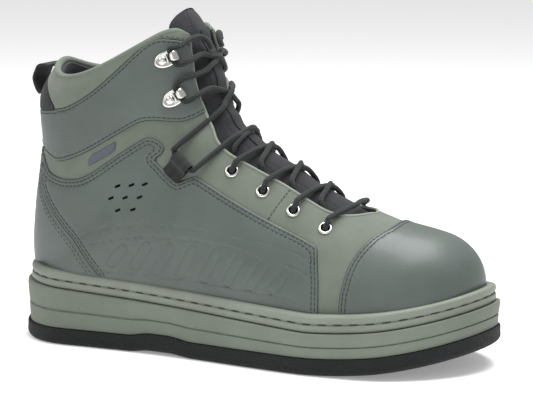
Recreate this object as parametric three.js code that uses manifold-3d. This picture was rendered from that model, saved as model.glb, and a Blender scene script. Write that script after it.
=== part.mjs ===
// A wading boot for the right foot, standing empty on its felt sole.
// Millimetres. +X points to the toe, +Z up, and the outer (lateral) side of the foot is -Y.
import * as THREE from 'three';
import { mergeVertices } from 'three/addons/utils/BufferGeometryUtils.js';
import Module from 'manifold-3d';

const wasm = await Module();
wasm.setup();

// Driving dimensions of the sole
const outsoleLength = 315;
const ballWidth = 121;
const heelRound = 42;
const toeRound = 64;
const feltThickness = 10;
const feltBevel = 3.5;
const feltHeelFlare = 0.5;
const heelMidsole = 28;
const foreMidsole = 15.5;
const toeSpring = 16;
const heelRise = 1.2;
const archGap = 1.6;
const midsoleTuck = 1.2;
const midsoleGroove = 0.9;
const midsoleRound = 0.8;
const weltLedge = 2.6;
const weltHeight = 11;
const stitchGroove = 1.2;
const weltShoulder = 1.6;
const weltFootRound = 0.9;
const insoleThickness = 4;
const insoleClearance = 2;

// Driving dimensions of the upper
const heelMargin = 7.5;
const sideMargin = 10.5;
const toeMargin = 11;
const shaftHeight = 140;
const upperWidth = 104;
const wall = 2.4;
const overlayThickness = 1.2;
const tongueThickness = 6;
const tongueCrown = 0.8;
const tongueEdge = 1.8;
const tongueMargin = 8;
const tongueGap = 1.3;
const fitGap = 0.3;
const weltGap = 1.1;

// Driving dimensions of the fittings
const eyeletHole = 2.5;
const eyeletFlange = 4.3;
const eyeletRoll = 0.9;
const laceDiameter = 4.4;
const webbingWidth = 13;
const webbingThickness = 1.6;
const loopReach = 11;
const hookPlateLength = 16;
const hookPlateWidth = 9;
const hookPlateThickness = 1;
const hookMetal = 1.6;
const hookOpening = 5.6;
const pullLoopWidth = 22;
const pullLoopReach = 10.5;
const pullLoopHeight = 20;

// How finely the curved forms are cut into facets
const soleSteps = 26;
const stepsAcrossHalf = 8;

const heelEnd = -outsoleLength / 2;
const toeEnd = outsoleLength / 2;
const LATERAL = -1;
const MEDIAL = 1;

// Monotone cubic interpolation down one column of a table
function column(table, key, name, at) {
  const last = table.length - 1;
  const place = (i) => table[Math.min(Math.max(i, 0), last)];
  let k = 0;
  while (k < last - 1 && at > place(k + 1)[key]) k += 1;
  const span = (i) => Math.max(place(i + 1)[key] - place(i)[key], 1e-9);
  const secant = (i) => (i < 0 || i >= last ? null : (place(i + 1)[name] - place(i)[name]) / span(i));
  const slope = (i) => {
    const before = secant(i - 1);
    const after = secant(i);
    if (before === null) return after;
    if (after === null) return before;
    if (before * after <= 0) return 0;
    const mean = (before + after) / 2;
    return Math.sign(mean) * Math.min(2 * Math.abs(before), 2 * Math.abs(after), Math.abs(mean));
  };
  const width = span(k);
  const t = Math.min(Math.max((at - place(k)[key]) / width, 0), 1);
  const a = place(k)[name];
  const b = place(k + 1)[name];
  const start = slope(k) * width;
  const end = slope(k + 1) * width;
  return a + t * start + t * t * (3 * (b - a) - 2 * start - end) + t * t * t * (2 * (a - b) + start + end);
}

// A quarter-round factor that closes a width over a run of the given length
function roundEnd(distance, run) {
  if (distance <= 0) return 0;
  if (distance >= run) return 1;
  const left = 1 - distance / run;
  return Math.sqrt(1 - Math.abs(left) ** 2.15);
}

// The sole seen from above: half-widths and the bend of its centre line, as shares of the ball width
const soleTable = [
  { along: 0.0, lateral: 0.352, medial: 0.35, bend: 0.0 },
  { along: 0.13, lateral: 0.368, medial: 0.362, bend: 0.0 },
  { along: 0.27, lateral: 0.37, medial: 0.345, bend: 0.002 },
  { along: 0.42, lateral: 0.4, medial: 0.345, bend: 0.0 },
  { along: 0.56, lateral: 0.455, medial: 0.4, bend: -0.002 },
  { along: 0.69, lateral: 0.494, medial: 0.47, bend: 0.0 },
  { along: 0.8, lateral: 0.49, medial: 0.485, bend: 0.012 },
  { along: 0.9, lateral: 0.455, medial: 0.455, bend: 0.03 },
  { along: 1.0, lateral: 0.41, medial: 0.41, bend: 0.05 },
];

const along = (x) => (x - heelEnd) / outsoleLength;
const centreLine = (x) => ballWidth * column(soleTable, 'along', 'bend', along(x));

function halfWidth(side, x, inset) {
  const wide = ballWidth * column(soleTable, 'along', side === LATERAL ? 'lateral' : 'medial', along(x));
  const heel = roundEnd(x - heelEnd - inset.heel, heelRound - inset.heel);
  const toe = roundEnd(toeEnd - inset.toe - x, toeRound - inset.toe);
  return (wide - inset.side) * heel * toe;
}

const even = (inset) => ({ heel: inset, side: inset, toe: inset });
const feather = { heel: heelMargin, side: sideMargin, toe: toeMargin };

// Heights along the sole
const smooth = (t) => {
  const s = Math.min(Math.max(t, 0), 1);
  return s * s * (3 - 2 * s);
};
const toeLift = (x) => toeSpring * Math.max(0, (along(x) - 0.66) / 0.34) ** 2;
const heelLift = (x) => heelRise * Math.max(0, (0.06 - along(x)) / 0.06) ** 2;
const archLift = (x) => archGap * smooth((along(x) - 0.28) / 0.05) * smooth((0.43 - along(x)) / 0.06);
const midsoleThickness = (x) => {
  const share = Math.min(Math.max(along(x) / 0.68, 0), 1);
  return heelMidsole + (foreMidsole - heelMidsole) * share;
};
const groundLine = (x) => toeLift(x) + heelLift(x) + archLift(x);
const feltTop = (x) => feltThickness + toeLift(x) + heelLift(x) + 1.4 * archLift(x);
const midsoleTop = (x) => feltThickness + midsoleThickness(x) + toeLift(x);

// Triangle soup to a welded geometry
function weld(points) {
  const soup = new THREE.BufferGeometry();
  soup.setAttribute('position', new THREE.Float32BufferAttribute(points.flatMap((p) => [p.x, p.y, p.z]), 3));
  const welded = mergeVertices(soup, 1e-4);
  const index = welded.index.array;
  const kept = [];
  for (let i = 0; i < index.length; i += 3) {
    const [a, b, c] = [index[i], index[i + 1], index[i + 2]];
    if (a !== b && b !== c && c !== a) kept.push(a, b, c);
  }
  welded.setIndex(kept);
  return welded;
}

function quad(into, a, b, c, d) {
  into.push(a, b, c, a, c, d);
}

// A solid whose walls pass through rings of the sole's outline, from the lowest ring up
function soleLoft(rings) {
  const soup = [];
  const ringPoint = (ring, side, i) => {
    const from = heelEnd + ring.inset.heel;
    const to = toeEnd - ring.inset.toe;
    const x = from + ((to - from) * (1 - Math.cos((Math.PI * i) / soleSteps))) / 2;
    const y = centreLine(x) + side * halfWidth(side, x, ring.inset);
    return new THREE.Vector3(x, y, ring.height(x));
  };
  for (let i = 0; i < soleSteps; i += 1) {
    for (let r = 0; r + 1 < rings.length; r += 1) {
      const low = rings[r];
      const high = rings[r + 1];
      quad(soup, ringPoint(low, LATERAL, i), ringPoint(low, LATERAL, i + 1),
        ringPoint(high, LATERAL, i + 1), ringPoint(high, LATERAL, i));
      quad(soup, ringPoint(low, MEDIAL, i + 1), ringPoint(low, MEDIAL, i),
        ringPoint(high, MEDIAL, i), ringPoint(high, MEDIAL, i + 1));
    }
    const bottom = rings[0];
    const top = rings[rings.length - 1];
    quad(soup, ringPoint(bottom, LATERAL, i), ringPoint(bottom, MEDIAL, i),
      ringPoint(bottom, MEDIAL, i + 1), ringPoint(bottom, LATERAL, i + 1));
    quad(soup, ringPoint(top, LATERAL, i), ringPoint(top, LATERAL, i + 1),
      ringPoint(top, MEDIAL, i + 1), ringPoint(top, MEDIAL, i));
  }
  return weld(soup);
}

// The sections of the upper, a fan of planes from the toe round the instep to the collar.
// base is the point under the foot or up the back and front the point on the instep ridge, both as
// shares of the foot's length from the heel and of the shaft's height above the footbed. The ring's
// widest point stands out past the sole's edge by lateral or medial, squared off against it, and
// throat is half its gap, as shares of the upper's width. full squares the ring, lean moves its
// widest point to the back, and dip hollows the collar's line at the sides.
const heelSection = 14;
const throatSection = 7;
const collarSection = 19;
const names = [
  'at', 'baseAlong', 'baseUp', 'frontAlong', 'frontUp', 'lateral', 'medial', 'full', 'lean', 'throat', 'dip',
];
const sections = [
  [0, 0.82, 0, 1.0, 0, 0.05, 0.05, 1.14, 1, 0, 0],
  [1, 0.812, 0, 1.002, 0.085, 0.055, 0.055, 1.08, 1, 0, 0],
  [2, 0.801, 0, 0.992, 0.175, 0.06, 0.06, 1.0, 1, 0, 0],
  [3, 0.788, 0, 0.969, 0.253, 0.07, 0.07, 0.94, 1, 0, 0],
  [4, 0.773, 0, 0.936, 0.315, 0.08, 0.08, 0.9, 1, 0, 0],
  [5, 0.754, 0, 0.892, 0.36, 0.085, 0.085, 0.87, 1, 0, 0],
  [6, 0.727, 0, 0.832, 0.409, 0.09, 0.09, 0.9, 1, 0, 0],
  [7, 0.69, 0, 0.775, 0.465, 0.1, 0.1, 0.94, 1, 0.2, 0],
  [8, 0.615, 0, 0.694, 0.545, 0.125, 0.125, 0.97, 1, 0.215, 0],
  [9, 0.54, 0, 0.626, 0.62, 0.17, 0.165, 0.98, 1, 0.215, 0],
  [10, 0.44, 0, 0.56, 0.695, 0.22, 0.22, 0.98, 1, 0.225, 0],
  [11, 0.325, 0, 0.505, 0.762, 0.25, 0.25, 0.96, 1, 0.235, 0],
  [12, 0.195, 0, 0.476, 0.815, 0.255, 0.25, 0.93, 1, 0.225, 0],
  [13, 0.075, 0, 0.46, 0.863, 0.275, 0.27, 0.9, 1.02, 0.2, 0],
  [14, 0, 0, 0.448, 0.912, 0.4, 0.394, 0.88, 1.05, 0.2, 0],
  [15, -0.006, 0.12, 0.438, 0.965, 0.396, 0.39, 0.87, 1.08, 0.205, 0],
  [16, 0.003, 0.35, 0.427, 1.03, 0.39, 0.385, 0.86, 1.1, 0.205, 0.02],
  [17, 0.02, 0.62, 0.415, 1.1, 0.388, 0.383, 0.86, 1.12, 0.195, 0.05],
  [18, 0.018, 0.84, 0.402, 1.165, 0.388, 0.383, 0.86, 1.12, 0.18, 0.08],
  [19, 0.052, 1, 0.39, 1.225, 0.37, 0.365, 0.88, 1.1, 0.16, 0.1],
  [20, 0.06, 1.05, 0.36, 1.31, 0.36, 0.355, 0.9, 1.1, 0.15, 0.1],
].map((row) => Object.fromEntries(names.map((name, i) => [name, row[i]])));
const section = (u, name) => column(sections, 'at', name, u);

const footLength = outsoleLength - heelMargin - toeMargin;
const footbed = (x) => midsoleTop(x) + fitGap;
const footX = (share) => heelEnd + heelMargin + share * footLength;

// Half of the throat's gap, rounded where it ends on the vamp
const throatRun = 0.85;
const throatHalf = (u) => upperWidth * section(u, 'throat') * roundEnd(u - throatSection, throatRun);

// How far the ring of a section reaches from the middle, and the angle where it begins
const sideName = (side) => (side === LATERAL ? 'lateral' : 'medial');
const soleReach = (u, side) =>
  (u >= heelSection ? 0 : halfWidth(side, footX(section(u, 'baseAlong')), feather));
const ringReach = (u, side) => Math.hypot(soleReach(u, side), upperWidth * section(u, sideName(side)));
const startAngle = (u, side) =>
  Math.asin((soleReach(u, side) / ringReach(u, side)) ** (1 / section(u, 'full')));
const angleAtWidth = (u, side, reach) =>
  Math.PI - Math.asin(Math.min(1, reach / ringReach(u, side)) ** (1 / section(u, 'full')));

// A point of the upper's outer face on section u, at an angle round the ring from under the foot
function facePoint(u, angle, side) {
  const first = startAngle(u, side);
  const share = ((Math.cos(first) - Math.cos(angle)) / (1 + Math.cos(first))) ** section(u, 'lean');
  const baseX = footX(section(u, 'baseAlong'));
  const frontX = footX(section(u, 'frontAlong'));
  const baseZ = footbed(baseX) + shaftHeight * section(u, 'baseUp');
  const frontZ = footbed(frontX) + shaftHeight * section(u, 'frontUp');
  const x = baseX + (frontX - baseX) * share;
  const hollow = Math.sin(Math.PI * Math.min(1, share / 0.85) ** 0.65);
  const z = baseZ + (frontZ - baseZ) * share - shaftHeight * section(u, 'dip') * hollow;
  const reach = ringReach(u, side) * Math.max(0, Math.sin(angle)) ** section(u, 'full');
  return new THREE.Vector3(x, centreLine(x) + side * reach, z);
}

// Outward normal, taken without crossing the corner under the heel. The first row runs along the
// sole's edge, where its own direction says nothing, so its normals come from just above it.
const firstNormal = 0.5;
function normalAt(row, turned, side) {
  const u = Math.max(row, firstNormal);
  const spread = (turned - startAngle(row, side)) / (Math.PI - startAngle(row, side));
  const angle = startAngle(u, side) + spread * (Math.PI - startAngle(u, side));
  const step = 0.04;
  const turn = 0.012;
  const low = u >= heelSection ? Math.max(heelSection, u - step) : Math.max(0, u - step);
  const high = u >= heelSection ? u + step : Math.min(heelSection, u + step);
  const onFront = angle > Math.PI - 1e-6;
  const onBack = u >= heelSection && angle < 1e-6;
  const follow = (v) => {
    const share = (angle - startAngle(u, side)) / (Math.PI - startAngle(u, side));
    return startAngle(v, side) + share * (Math.PI - startAngle(v, side));
  };
  const alongU = facePoint(high, follow(high), side).sub(facePoint(low, follow(low), side));
  if (onFront) return new THREE.Vector3(alongU.z, 0, -alongU.x).normalize();
  if (onBack) return new THREE.Vector3(-alongU.z, 0, alongU.x).normalize();
  const back = Math.max(startAngle(u, side), angle - turn);
  const ahead = Math.min(Math.PI, angle + turn);
  const across = facePoint(u, ahead, side).sub(facePoint(u, back, side));
  return new THREE.Vector3().crossVectors(alongU, across).multiplyScalar(side).normalize();
}

const skinPoint = (u, angle, side, offset) =>
  facePoint(u, angle, side).addScaledVector(normalAt(u, angle, side), offset);

// Rows of the mesh: one to a section, and some closer together over the toe, round the throat's
// end and at the heel's edge
const roundRows = [0.5, 1.5, 2.5, throatSection + 0.06, throatSection + 0.25, 13.5, 13.78, 13.92, 13.97];
function meshRows() {
  const rows = Array.from({ length: collarSection + 1 }, (_, i) => i);
  return rows.concat(roundRows).sort((a, b) => a - b);
}

// A grid of points on one side of the upper, from the foot or the back to the throat's edge, and
// on to the ridge where nothing is left open
function sideGrid(rows, side, offset, open) {
  return rows.map((u) => {
    const first = startAngle(u, side);
    const gap = throatHalf(u);
    const last = gap > 0 ? angleAtWidth(u, side, gap) : Math.PI;
    const turn = (last - first) / stepsAcrossHalf;
    const angles = Array.from({ length: stepsAcrossHalf + 1 }, (_, c) => first + turn * c);
    if (!open) angles.push(Math.PI);
    return angles.map((angle) => skinPoint(u, angle, side, offset));
  });
}

function gridFaces(soup, grid, side, outward) {
  for (let r = 0; r + 1 < grid.length; r += 1) {
    for (let c = 0; c + 1 < grid[r].length; c += 1) {
      const [a, b, d, e] = [grid[r][c], grid[r][c + 1], grid[r + 1][c + 1], grid[r + 1][c]];
      if ((side === LATERAL) === outward) quad(soup, a, b, d, e);
      else quad(soup, a, e, d, b);
    }
  }
}

function strip(soup, first, second) {
  for (let i = 0; i + 1 < first.length; i += 1) quad(soup, first[i], first[i + 1], second[i + 1], second[i]);
}

// The upper's wall, open under the foot, at the throat and at the collar
function shellGeometry(outerOffset, innerOffset) {
  const rows = meshRows();
  const heelRow = rows.indexOf(heelSection);
  const soup = [];
  for (const side of [LATERAL, MEDIAL]) {
    const outer = sideGrid(rows, side, outerOffset, true);
    const inner = sideGrid(rows, side, innerOffset, true);
    gridFaces(soup, outer, side, true);
    gridFaces(soup, inner, side, false);
    const rims = [
      [outer.slice(0, heelRow + 1).map((row) => row[0]), inner.slice(0, heelRow + 1).map((row) => row[0])],
      [inner[0], outer[0]],
      [outer[outer.length - 1], inner[inner.length - 1]],
      [inner.map((row) => row[stepsAcrossHalf]), outer.map((row) => row[stepsAcrossHalf])]];
    rims[3] = rims[3].map((edge) => edge.slice(rows.indexOf(throatSection)));
    for (const [first, second] of rims) {
      if (side === LATERAL) strip(soup, first, second);
      else strip(soup, second, first);
    }
  }
  return weld(soup);
}

// The upper's whole form with nothing left open, its foot sunk a little, for cuts and overlays
function formGeometry(offset) {
  const rows = meshRows();
  const heelRow = rows.indexOf(heelSection);
  const lateral = sideGrid(rows, LATERAL, offset, false);
  const medial = sideGrid(rows, MEDIAL, offset, false);
  const foot = (grid) => grid.slice(0, heelRow + 1).map((row) => row[0]);
  const sunk = (edge) => edge.map((p) => new THREE.Vector3(p.x, p.y, p.z - wall));
  const soup = [];
  gridFaces(soup, lateral, LATERAL, true);
  gridFaces(soup, medial, MEDIAL, true);
  strip(soup, foot(lateral), sunk(foot(lateral)));
  strip(soup, sunk(foot(medial)), foot(medial));
  strip(soup, sunk(foot(lateral)), sunk(foot(medial)));
  strip(soup, sunk(lateral[0]), lateral[0]);
  strip(soup, medial[0], sunk(medial[0]));
  strip(soup, sunk(medial[0]), sunk(lateral[0]));
  strip(soup, lateral[rows.length - 1], medial[rows.length - 1]);
  return weld(soup);
}

// Solids: joined and cut as closed bodies, without the facets that a shape can do without
const facetTolerance = 0.09;
function solidOf(geometry) {
  const bare = geometry.clone();
  for (const name of Object.keys(bare.attributes)) if (name !== 'position') bare.deleteAttribute(name);
  const merged = mergeVertices(bare, 1e-4);
  return new wasm.Manifold(new wasm.Mesh({
    numProp: 3,
    vertProperties: Float32Array.from(merged.getAttribute('position').array),
    triVerts: Uint32Array.from(merged.index.array),
  }));
}

function geometryOf(solid) {
  const mesh = mainBody(solid.simplify(facetTolerance)).getMesh();
  const geometry = new THREE.BufferGeometry();
  geometry.setAttribute('position', new THREE.BufferAttribute(Float32Array.from(mesh.vertProperties), 3));
  geometry.setIndex(Array.from(mesh.triVerts));
  geometry.computeVertexNormals();
  return geometry;
}

// The main body of a cut, without the slivers that facets leave beside it
const mainBody = (solid) => solid.decompose().reduce((a, b) => (a.volume() > b.volume() ? a : b));

// A point of the side view, from shares of the foot's length and of the shaft's height
function sidePoint(share, up) {
  const x = footX(share);
  return new THREE.Vector2(x, footbed(x) + shaftHeight * up);
}

// A flat outline given a width across it, its middle on the XZ plane
function band(outline, width, curveSegments) {
  const pushed = new THREE.ExtrudeGeometry(outline, { depth: width, bevelEnabled: false, curveSegments });
  return pushed.translate(0, 0, -width / 2).rotateX(Math.PI / 2);
}

// A side-view outline pushed across the whole width of the boot, on one side only or on both
function sidePrism(outline, side = 0) {
  const reach = ballWidth;
  const depth = side === 0 ? 2 * reach : reach;
  const shape = new THREE.Shape(outline);
  const prism = new THREE.ExtrudeGeometry(shape, { depth, bevelEnabled: false, curveSegments: 1 });
  prism.rotateX(Math.PI / 2);
  prism.translate(0, side === LATERAL ? 0 : reach, 0);
  return solidOf(prism);
}

const root = new THREE.Group();
function addMesh(name, geometry, look) {
  const material = new THREE.MeshStandardMaterial(look);
  const mesh = new THREE.Mesh(geometry, material);
  mesh.name = name;
  root.add(mesh);
  return mesh;
}

const looks = {
  felt: { color: 0x1b1f22, roughness: 0.98, metalness: 0 },
  foam: { color: 0x7d8377, roughness: 0.75, metalness: 0 },
  welt: { color: 0x858b7f, roughness: 0.65, metalness: 0 },
  leather: { color: 0x66706b, roughness: 0.62, metalness: 0 },
  nubuck: { color: 0x7f877a, roughness: 0.85, metalness: 0 },
  mesh: { color: 0x34363b, roughness: 0.95, metalness: 0 },
  webbing: { color: 0x272a2b, roughness: 0.9, metalness: 0 },
  lace: { color: 0x2c3130, roughness: 0.9, metalness: 0 },
  metal: { color: 0xc8c9c6, roughness: 0.25, metalness: 1 },
};

// Sole: felt slab, foam midsole and the stitched rubber welt round the upper's foot
const ring = (inset, height) => ({ inset: even(inset), height });
const felt = soleLoft([
  ring(feltBevel, groundLine),
  ring(0.6, (x) => groundLine(x) + 0.35 * feltThickness),
  ring(0, (x) => feltTop(x)),
]);
addMesh('outsole_felt', felt, looks.felt);

const midsoleFoot = (x) => feltTop(x) + fitGap;
const midsoleHeight = (share) => (x) => midsoleFoot(x) + share * (midsoleTop(x) - midsoleFoot(x));
const midsole = soleLoft([
  ring(feltHeelFlare + midsoleTuck, midsoleFoot),
  ring(feltHeelFlare + 0.7 * midsoleTuck, midsoleHeight(0.42)),
  ring(feltHeelFlare + 0.7 * midsoleTuck + midsoleGroove, midsoleHeight(0.46)),
  ring(feltHeelFlare + 0.5 * midsoleTuck, midsoleHeight(0.5)),
  ring(feltHeelFlare, midsoleHeight(0.95)),
  ring(feltHeelFlare + midsoleRound, midsoleTop),
]);
addMesh('midsole', midsole, looks.foam);

const weltEdge = feltHeelFlare + weltLedge;
const weltFoot = (x) => midsoleTop(x) + fitGap;
const weltAt = (share) => (x) => weltFoot(x) + share * weltHeight;
const weltBlank = soleLoft([
  ring(weltEdge + weltFootRound, weltAt(0)),
  ring(weltEdge, weltAt(0.34)),
  ring(weltEdge + stitchGroove, weltAt(0.44)),
  ring(weltEdge, weltAt(0.56)),
  ring(weltEdge + weltShoulder, weltAt(0.95)),
  ring(weltEdge + 2 * weltShoulder, weltAt(1)),
]);
const seatEdge = { heel: heelMargin - weltGap, side: sideMargin - weltGap, toe: toeMargin - weltGap };
const footSeat = soleLoft([
  { inset: seatEdge, height: (x) => weltFoot(x) - wall },
  { inset: seatEdge, height: (x) => weltFoot(x) + weltGap },
]);
const weltHollow = solidOf(formGeometry(weltGap)).add(solidOf(footSeat));
addMesh('welt', geometryOf(solidOf(weltBlank).subtract(weltHollow)), looks.welt);

const insoleMargin = wall + insoleClearance;
const insoleEdge = {
  heel: heelMargin + insoleMargin, side: sideMargin + insoleMargin, toe: toeMargin + insoleMargin,
};
addMesh('insole', soleLoft([
  { inset: insoleEdge, height: footbed },
  { inset: insoleEdge, height: (x) => footbed(x) + insoleThickness },
]), looks.mesh);

// The place on the surface that a point of the side view shows, as a section and an angle
function locate(share, up, side) {
  const target = sidePoint(share, up);
  const angleOf = (u, turn) => startAngle(u, side) + turn * (Math.PI - startAngle(u, side));
  const miss = (u, turn) => {
    const p = facePoint(u, angleOf(u, turn), side);
    return Math.hypot(p.x - target.x, p.z - target.y);
  };
  let best = { u: collarSection / 2, turn: 0.5, miss: Infinity };
  const tryAt = (u, turn) => {
    if (u < 0 || u > collarSection || turn < 0 || turn > 1) return;
    const off = miss(u, turn);
    if (off < best.miss) best = { u, turn, miss: off };
  };
  for (let i = 0; i <= 4 * collarSection; i += 1) for (let k = 0; k <= 40; k += 1) tryAt(i / 4, k / 40);
  for (let reach = 0.25; reach > 1e-4; reach *= 0.7) {
    const { u, turn } = best;
    for (const du of [-reach, 0, reach]) for (const dt of [-reach, 0, reach]) tryAt(u + du, turn + dt / 10);
  }
  return { u: best.u, angle: angleOf(best.u, best.turn), side };
}

// Axes at a place on the surface: out of it, along it towards the throat, and along it upwards
function placeOn(spot, offset) {
  const { u, angle, side } = spot;
  const point = skinPoint(u, angle, side, offset);
  const normal = normalAt(u, angle, side);
  const ahead = facePoint(u, angle + 0.02, side).sub(facePoint(u, angle - 0.02, side));
  const throatward = ahead.addScaledVector(normal, -ahead.dot(normal)).normalize();
  const upward = new THREE.Vector3().crossVectors(normal, throatward).multiplyScalar(-side).normalize();
  return { point, normal, throatward, upward };
}

// Moves a piece made at the origin, its Z out of the surface and its X towards the throat
function setOn(geometry, spot, offset) {
  const { point, normal, throatward } = placeOn(spot, offset);
  const third = new THREE.Vector3().crossVectors(normal, throatward);
  geometry.applyMatrix4(new THREE.Matrix4().makeBasis(throatward, third, normal).setPosition(point));
  return geometry;
}

const table = (keys, rows) => rows.map((row) => Object.fromEntries(keys.map((key, i) => [key, row[i]])));
const seam = (rows) => table(['along', 'up'], rows);
const at = (share, up) => ({ along: share, up });

// Eyelet places, from the top of the row to the toe
const eyeletSpots = seam([[0.496, 0.623], [0.567, 0.553], [0.636, 0.486], [0.707, 0.425]]);
const barrelWall = 0.5;
const eyeletSides = 8;
const sides = [['lateral', LATERAL], ['medial', MEDIAL]];
const eyeletPlaces = [];
for (const [name, side] of sides) {
  eyeletSpots.forEach((row, i) => {
    eyeletPlaces.push({ name: `eyelet_${name}_${i + 1}`, spot: locate(row.along, row.up, side) });
  });
}

// Upper: one hollow wall with a hole for each eyelet
function eyeletCut(spot) {
  const radius = eyeletHole + barrelWall + fitGap;
  const pin = new THREE.CylinderGeometry(radius, radius, 4 * wall, eyeletSides).rotateX(Math.PI / 2);
  return solidOf(setOn(pin, spot, 0));
}
const upperWall = solidOf(shellGeometry(0, -wall));
const upper = eyeletPlaces.reduce((solid, place) => solid.subtract(eyeletCut(place.spot)), upperWall);
addMesh('upper', geometryOf(upper), looks.nubuck);

// Tongue: a padded blade under the throat, crowned in its gap, from the vamp to above the collar
const tongueFoot = 6.5;
const tongueTop = 20;
const tongueHalf = (u) => (upperWidth * section(u, 'throat') + tongueMargin)
  * roundEnd(u - tongueFoot, 0.8) * roundEnd(tongueTop - u, 0.8);
const tongueColumns = 5;

function tonguePoint(u, k, under) {
  const side = k < 0 ? LATERAL : MEDIAL;
  const reach = Math.abs(k) * tongueHalf(u);
  const angle = k === 0 ? Math.PI : angleAtWidth(u, side, reach);
  const pastEnd = smooth((u - throatSection - 0.1) / 0.8);
  const gap = throatHalf(Math.min(u, collarSection));
  const inGap = pastEnd * smooth((gap - tongueMargin / 3 - reach) / tongueMargin);
  const thickness = tongueEdge + (tongueThickness - tongueEdge) * smooth((1 - Math.abs(k)) * 2.5);
  const top = -(wall + tongueGap) + tongueCrown * inGap;
  return skinPoint(u, angle, side, under ? top - thickness : top);
}

function tongueGeometry() {
  const rows = [0, 0.02, 0.08, 0.2, 0.4].map((s) => tongueFoot + s);
  for (let u = tongueFoot + 1; u < tongueTop - 0.6; u += 1) rows.push(u);
  rows.push(...[0.5, 0.3, 0.15, 0.05, 0.005].map((s) => tongueTop - s));
  const soup = [];
  const grid = (under) => rows.map((u) =>
    Array.from({ length: 2 * tongueColumns + 1 }, (_, i) => tonguePoint(u, i / tongueColumns - 1, under)));
  const top = grid(false);
  const below = grid(true);
  for (let r = 0; r + 1 < rows.length; r += 1) {
    for (let c = 0; c < 2 * tongueColumns; c += 1) {
      quad(soup, top[r][c], top[r][c + 1], top[r + 1][c + 1], top[r + 1][c]);
      quad(soup, below[r + 1][c], below[r + 1][c + 1], below[r][c + 1], below[r][c]);
    }
    quad(soup, below[r][0], top[r][0], top[r + 1][0], below[r + 1][0]);
    const e = 2 * tongueColumns;
    quad(soup, top[r][e], below[r][e], below[r + 1][e], top[r + 1][e]);
  }
  const last = rows.length - 1;
  strip(soup, below[0], top[0]);
  strip(soup, top[last], below[last]);
  return weld(soup);
}
addMesh('tongue', geometryOf(solidOf(tongueGeometry())), looks.mesh);

// Side-view outlines of the overlays, from the seams on the outer side of the boot
const behind = -0.06;
const beyond = 1.06;
const overhead = 1.5;
const weltTopUp = (weltHeight + 2 * fitGap) / shaftHeight;

const toeCapSeam = seam([
  [0.832, 0.52], [0.828, 0.42], [0.816, 0.397], [0.802, 0.375], [0.784, 0.325],
  [0.772, 0.26], [0.766, 0.19], [0.763, 0.13], [0.762, weltTopUp],
]);
const counterSeam = seam([
  [0.037, 0.606], [0.04, 0.53], [0.047, 0.462], [0.063, 0.4], [0.087, 0.338], [0.116, 0.278], [0.153, 0.204],
  [0.2, weltTopUp],
]);
const quarterSeam = seam([
  [0.058, 0.545], [0.078, 0.511], [0.121, 0.5], [0.173, 0.528], [0.254, 0.65], [0.306, 0.726],
  [0.322, 0.731], [0.342, 0.713], [0.349, 0.69], [0.345, 0.668], [0.331, 0.645], [0.332, 0.632],
  [0.378, 0.558], [0.39, 0.556], [0.418, 0.583], [0.432, 0.578], [0.51, 0.505], [0.586, 0.442],
  [0.694, 0.36], [0.703, 0.345], [0.71, 0.27], [0.717, 0.17], [0.72, weltTopUp],
]);
const shaftSeam = seam([
  [behind, 0.628], [0.03, 0.628], [0.052, 0.6], [0.078, 0.58], [0.106, 0.577], [0.174, 0.638], [0.285, 0.787],
  [0.303, 0.804], [0.325, 0.812], [0.375, 0.813], [0.4, 0.83], [0.44, 0.868], [0.56, 0.868],
]);
const collarSeam = seam([
  [behind, 0.812], [0.077, 0.812], [0.128, 0.83], [0.192, 0.914], [0.248, 1.02], [0.3, 1.132],
  [0.318, 1.16], [0.334, 1.17], [0.355, 1.168], [0.42, 1.155], [0.56, 1.155],
]);
const patchSeam = seam([
  [behind, 0.97], [0.03, 0.97], [0.05, 0.91], [0.094, 0.815], [0.08, 0.8], [0.055, 0.79], [0.038, 0.785],
  [behind, 0.785],
]);

// The same seam moved aside by the gap that keeps two overlays apart
const aside = (rows, forward, upward) => rows.map((row) => ({
  along: row.along + (forward * fitGap) / footLength,
  up: row.up + (upward * fitGap) / shaftHeight,
}));
const backwards = (rows) => [...rows].reverse();
const flat = (rows) => rows.map((row) => sidePoint(row.along, row.up));

// Overlays: a second skin over the upper, open where the upper is, cut along the seams
const overlaySkin = solidOf(shellGeometry(fitGap + overlayThickness, fitGap));
const panel = (rows, side) => mainBody(overlaySkin.intersect(sidePrism(flat(rows), side)));
const weltLine = (from, to) => [0, 0.25, 0.5, 0.75, 1].map((t) => at(from + (to - from) * t, weltTopUp));

addMesh('toe_cap', geometryOf(panel(
  [...toeCapSeam, ...weltLine(0.8, beyond), at(beyond, 0.52)])), looks.leather);
addMesh('heel_counter', geometryOf(panel(
  [at(behind, 0.606), ...counterSeam, ...weltLine(0.16, behind)])), looks.leather);
const counterSide = backwards(aside(counterSeam, 1.6, 0)).slice(0, -1);
const quarter = [...quarterSeam, ...weltLine(0.65, 0.22), ...counterSide];
addMesh('quarter_lateral', geometryOf(panel(quarter, LATERAL)), looks.leather);
addMesh('quarter_medial', geometryOf(panel(quarter, MEDIAL)), looks.leather);

const patchCut = sidePrism(flat(aside(patchSeam, 1, 0)));
const shaftPanel = panel([...shaftSeam, ...backwards(aside(collarSeam, 0, -1.4))]).subtract(patchCut);
addMesh('shaft_panel', geometryOf(shaftPanel), looks.leather);
const collar = panel([...collarSeam, at(0.56, overhead), at(behind, overhead)]).subtract(patchCut);
addMesh('collar', geometryOf(collar), looks.nubuck);
addMesh('back_patch', geometryOf(panel(patchSeam)), looks.webbing);

// A bare woven tab in the band between the quarter and the shaft panel
const tabOutline = seam([[0.207, 0.593], [0.262, 0.676], [0.262, 0.742], [0.207, 0.664]]);
addMesh('label_tab', geometryOf(panel(tabOutline, LATERAL)), looks.webbing);

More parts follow.
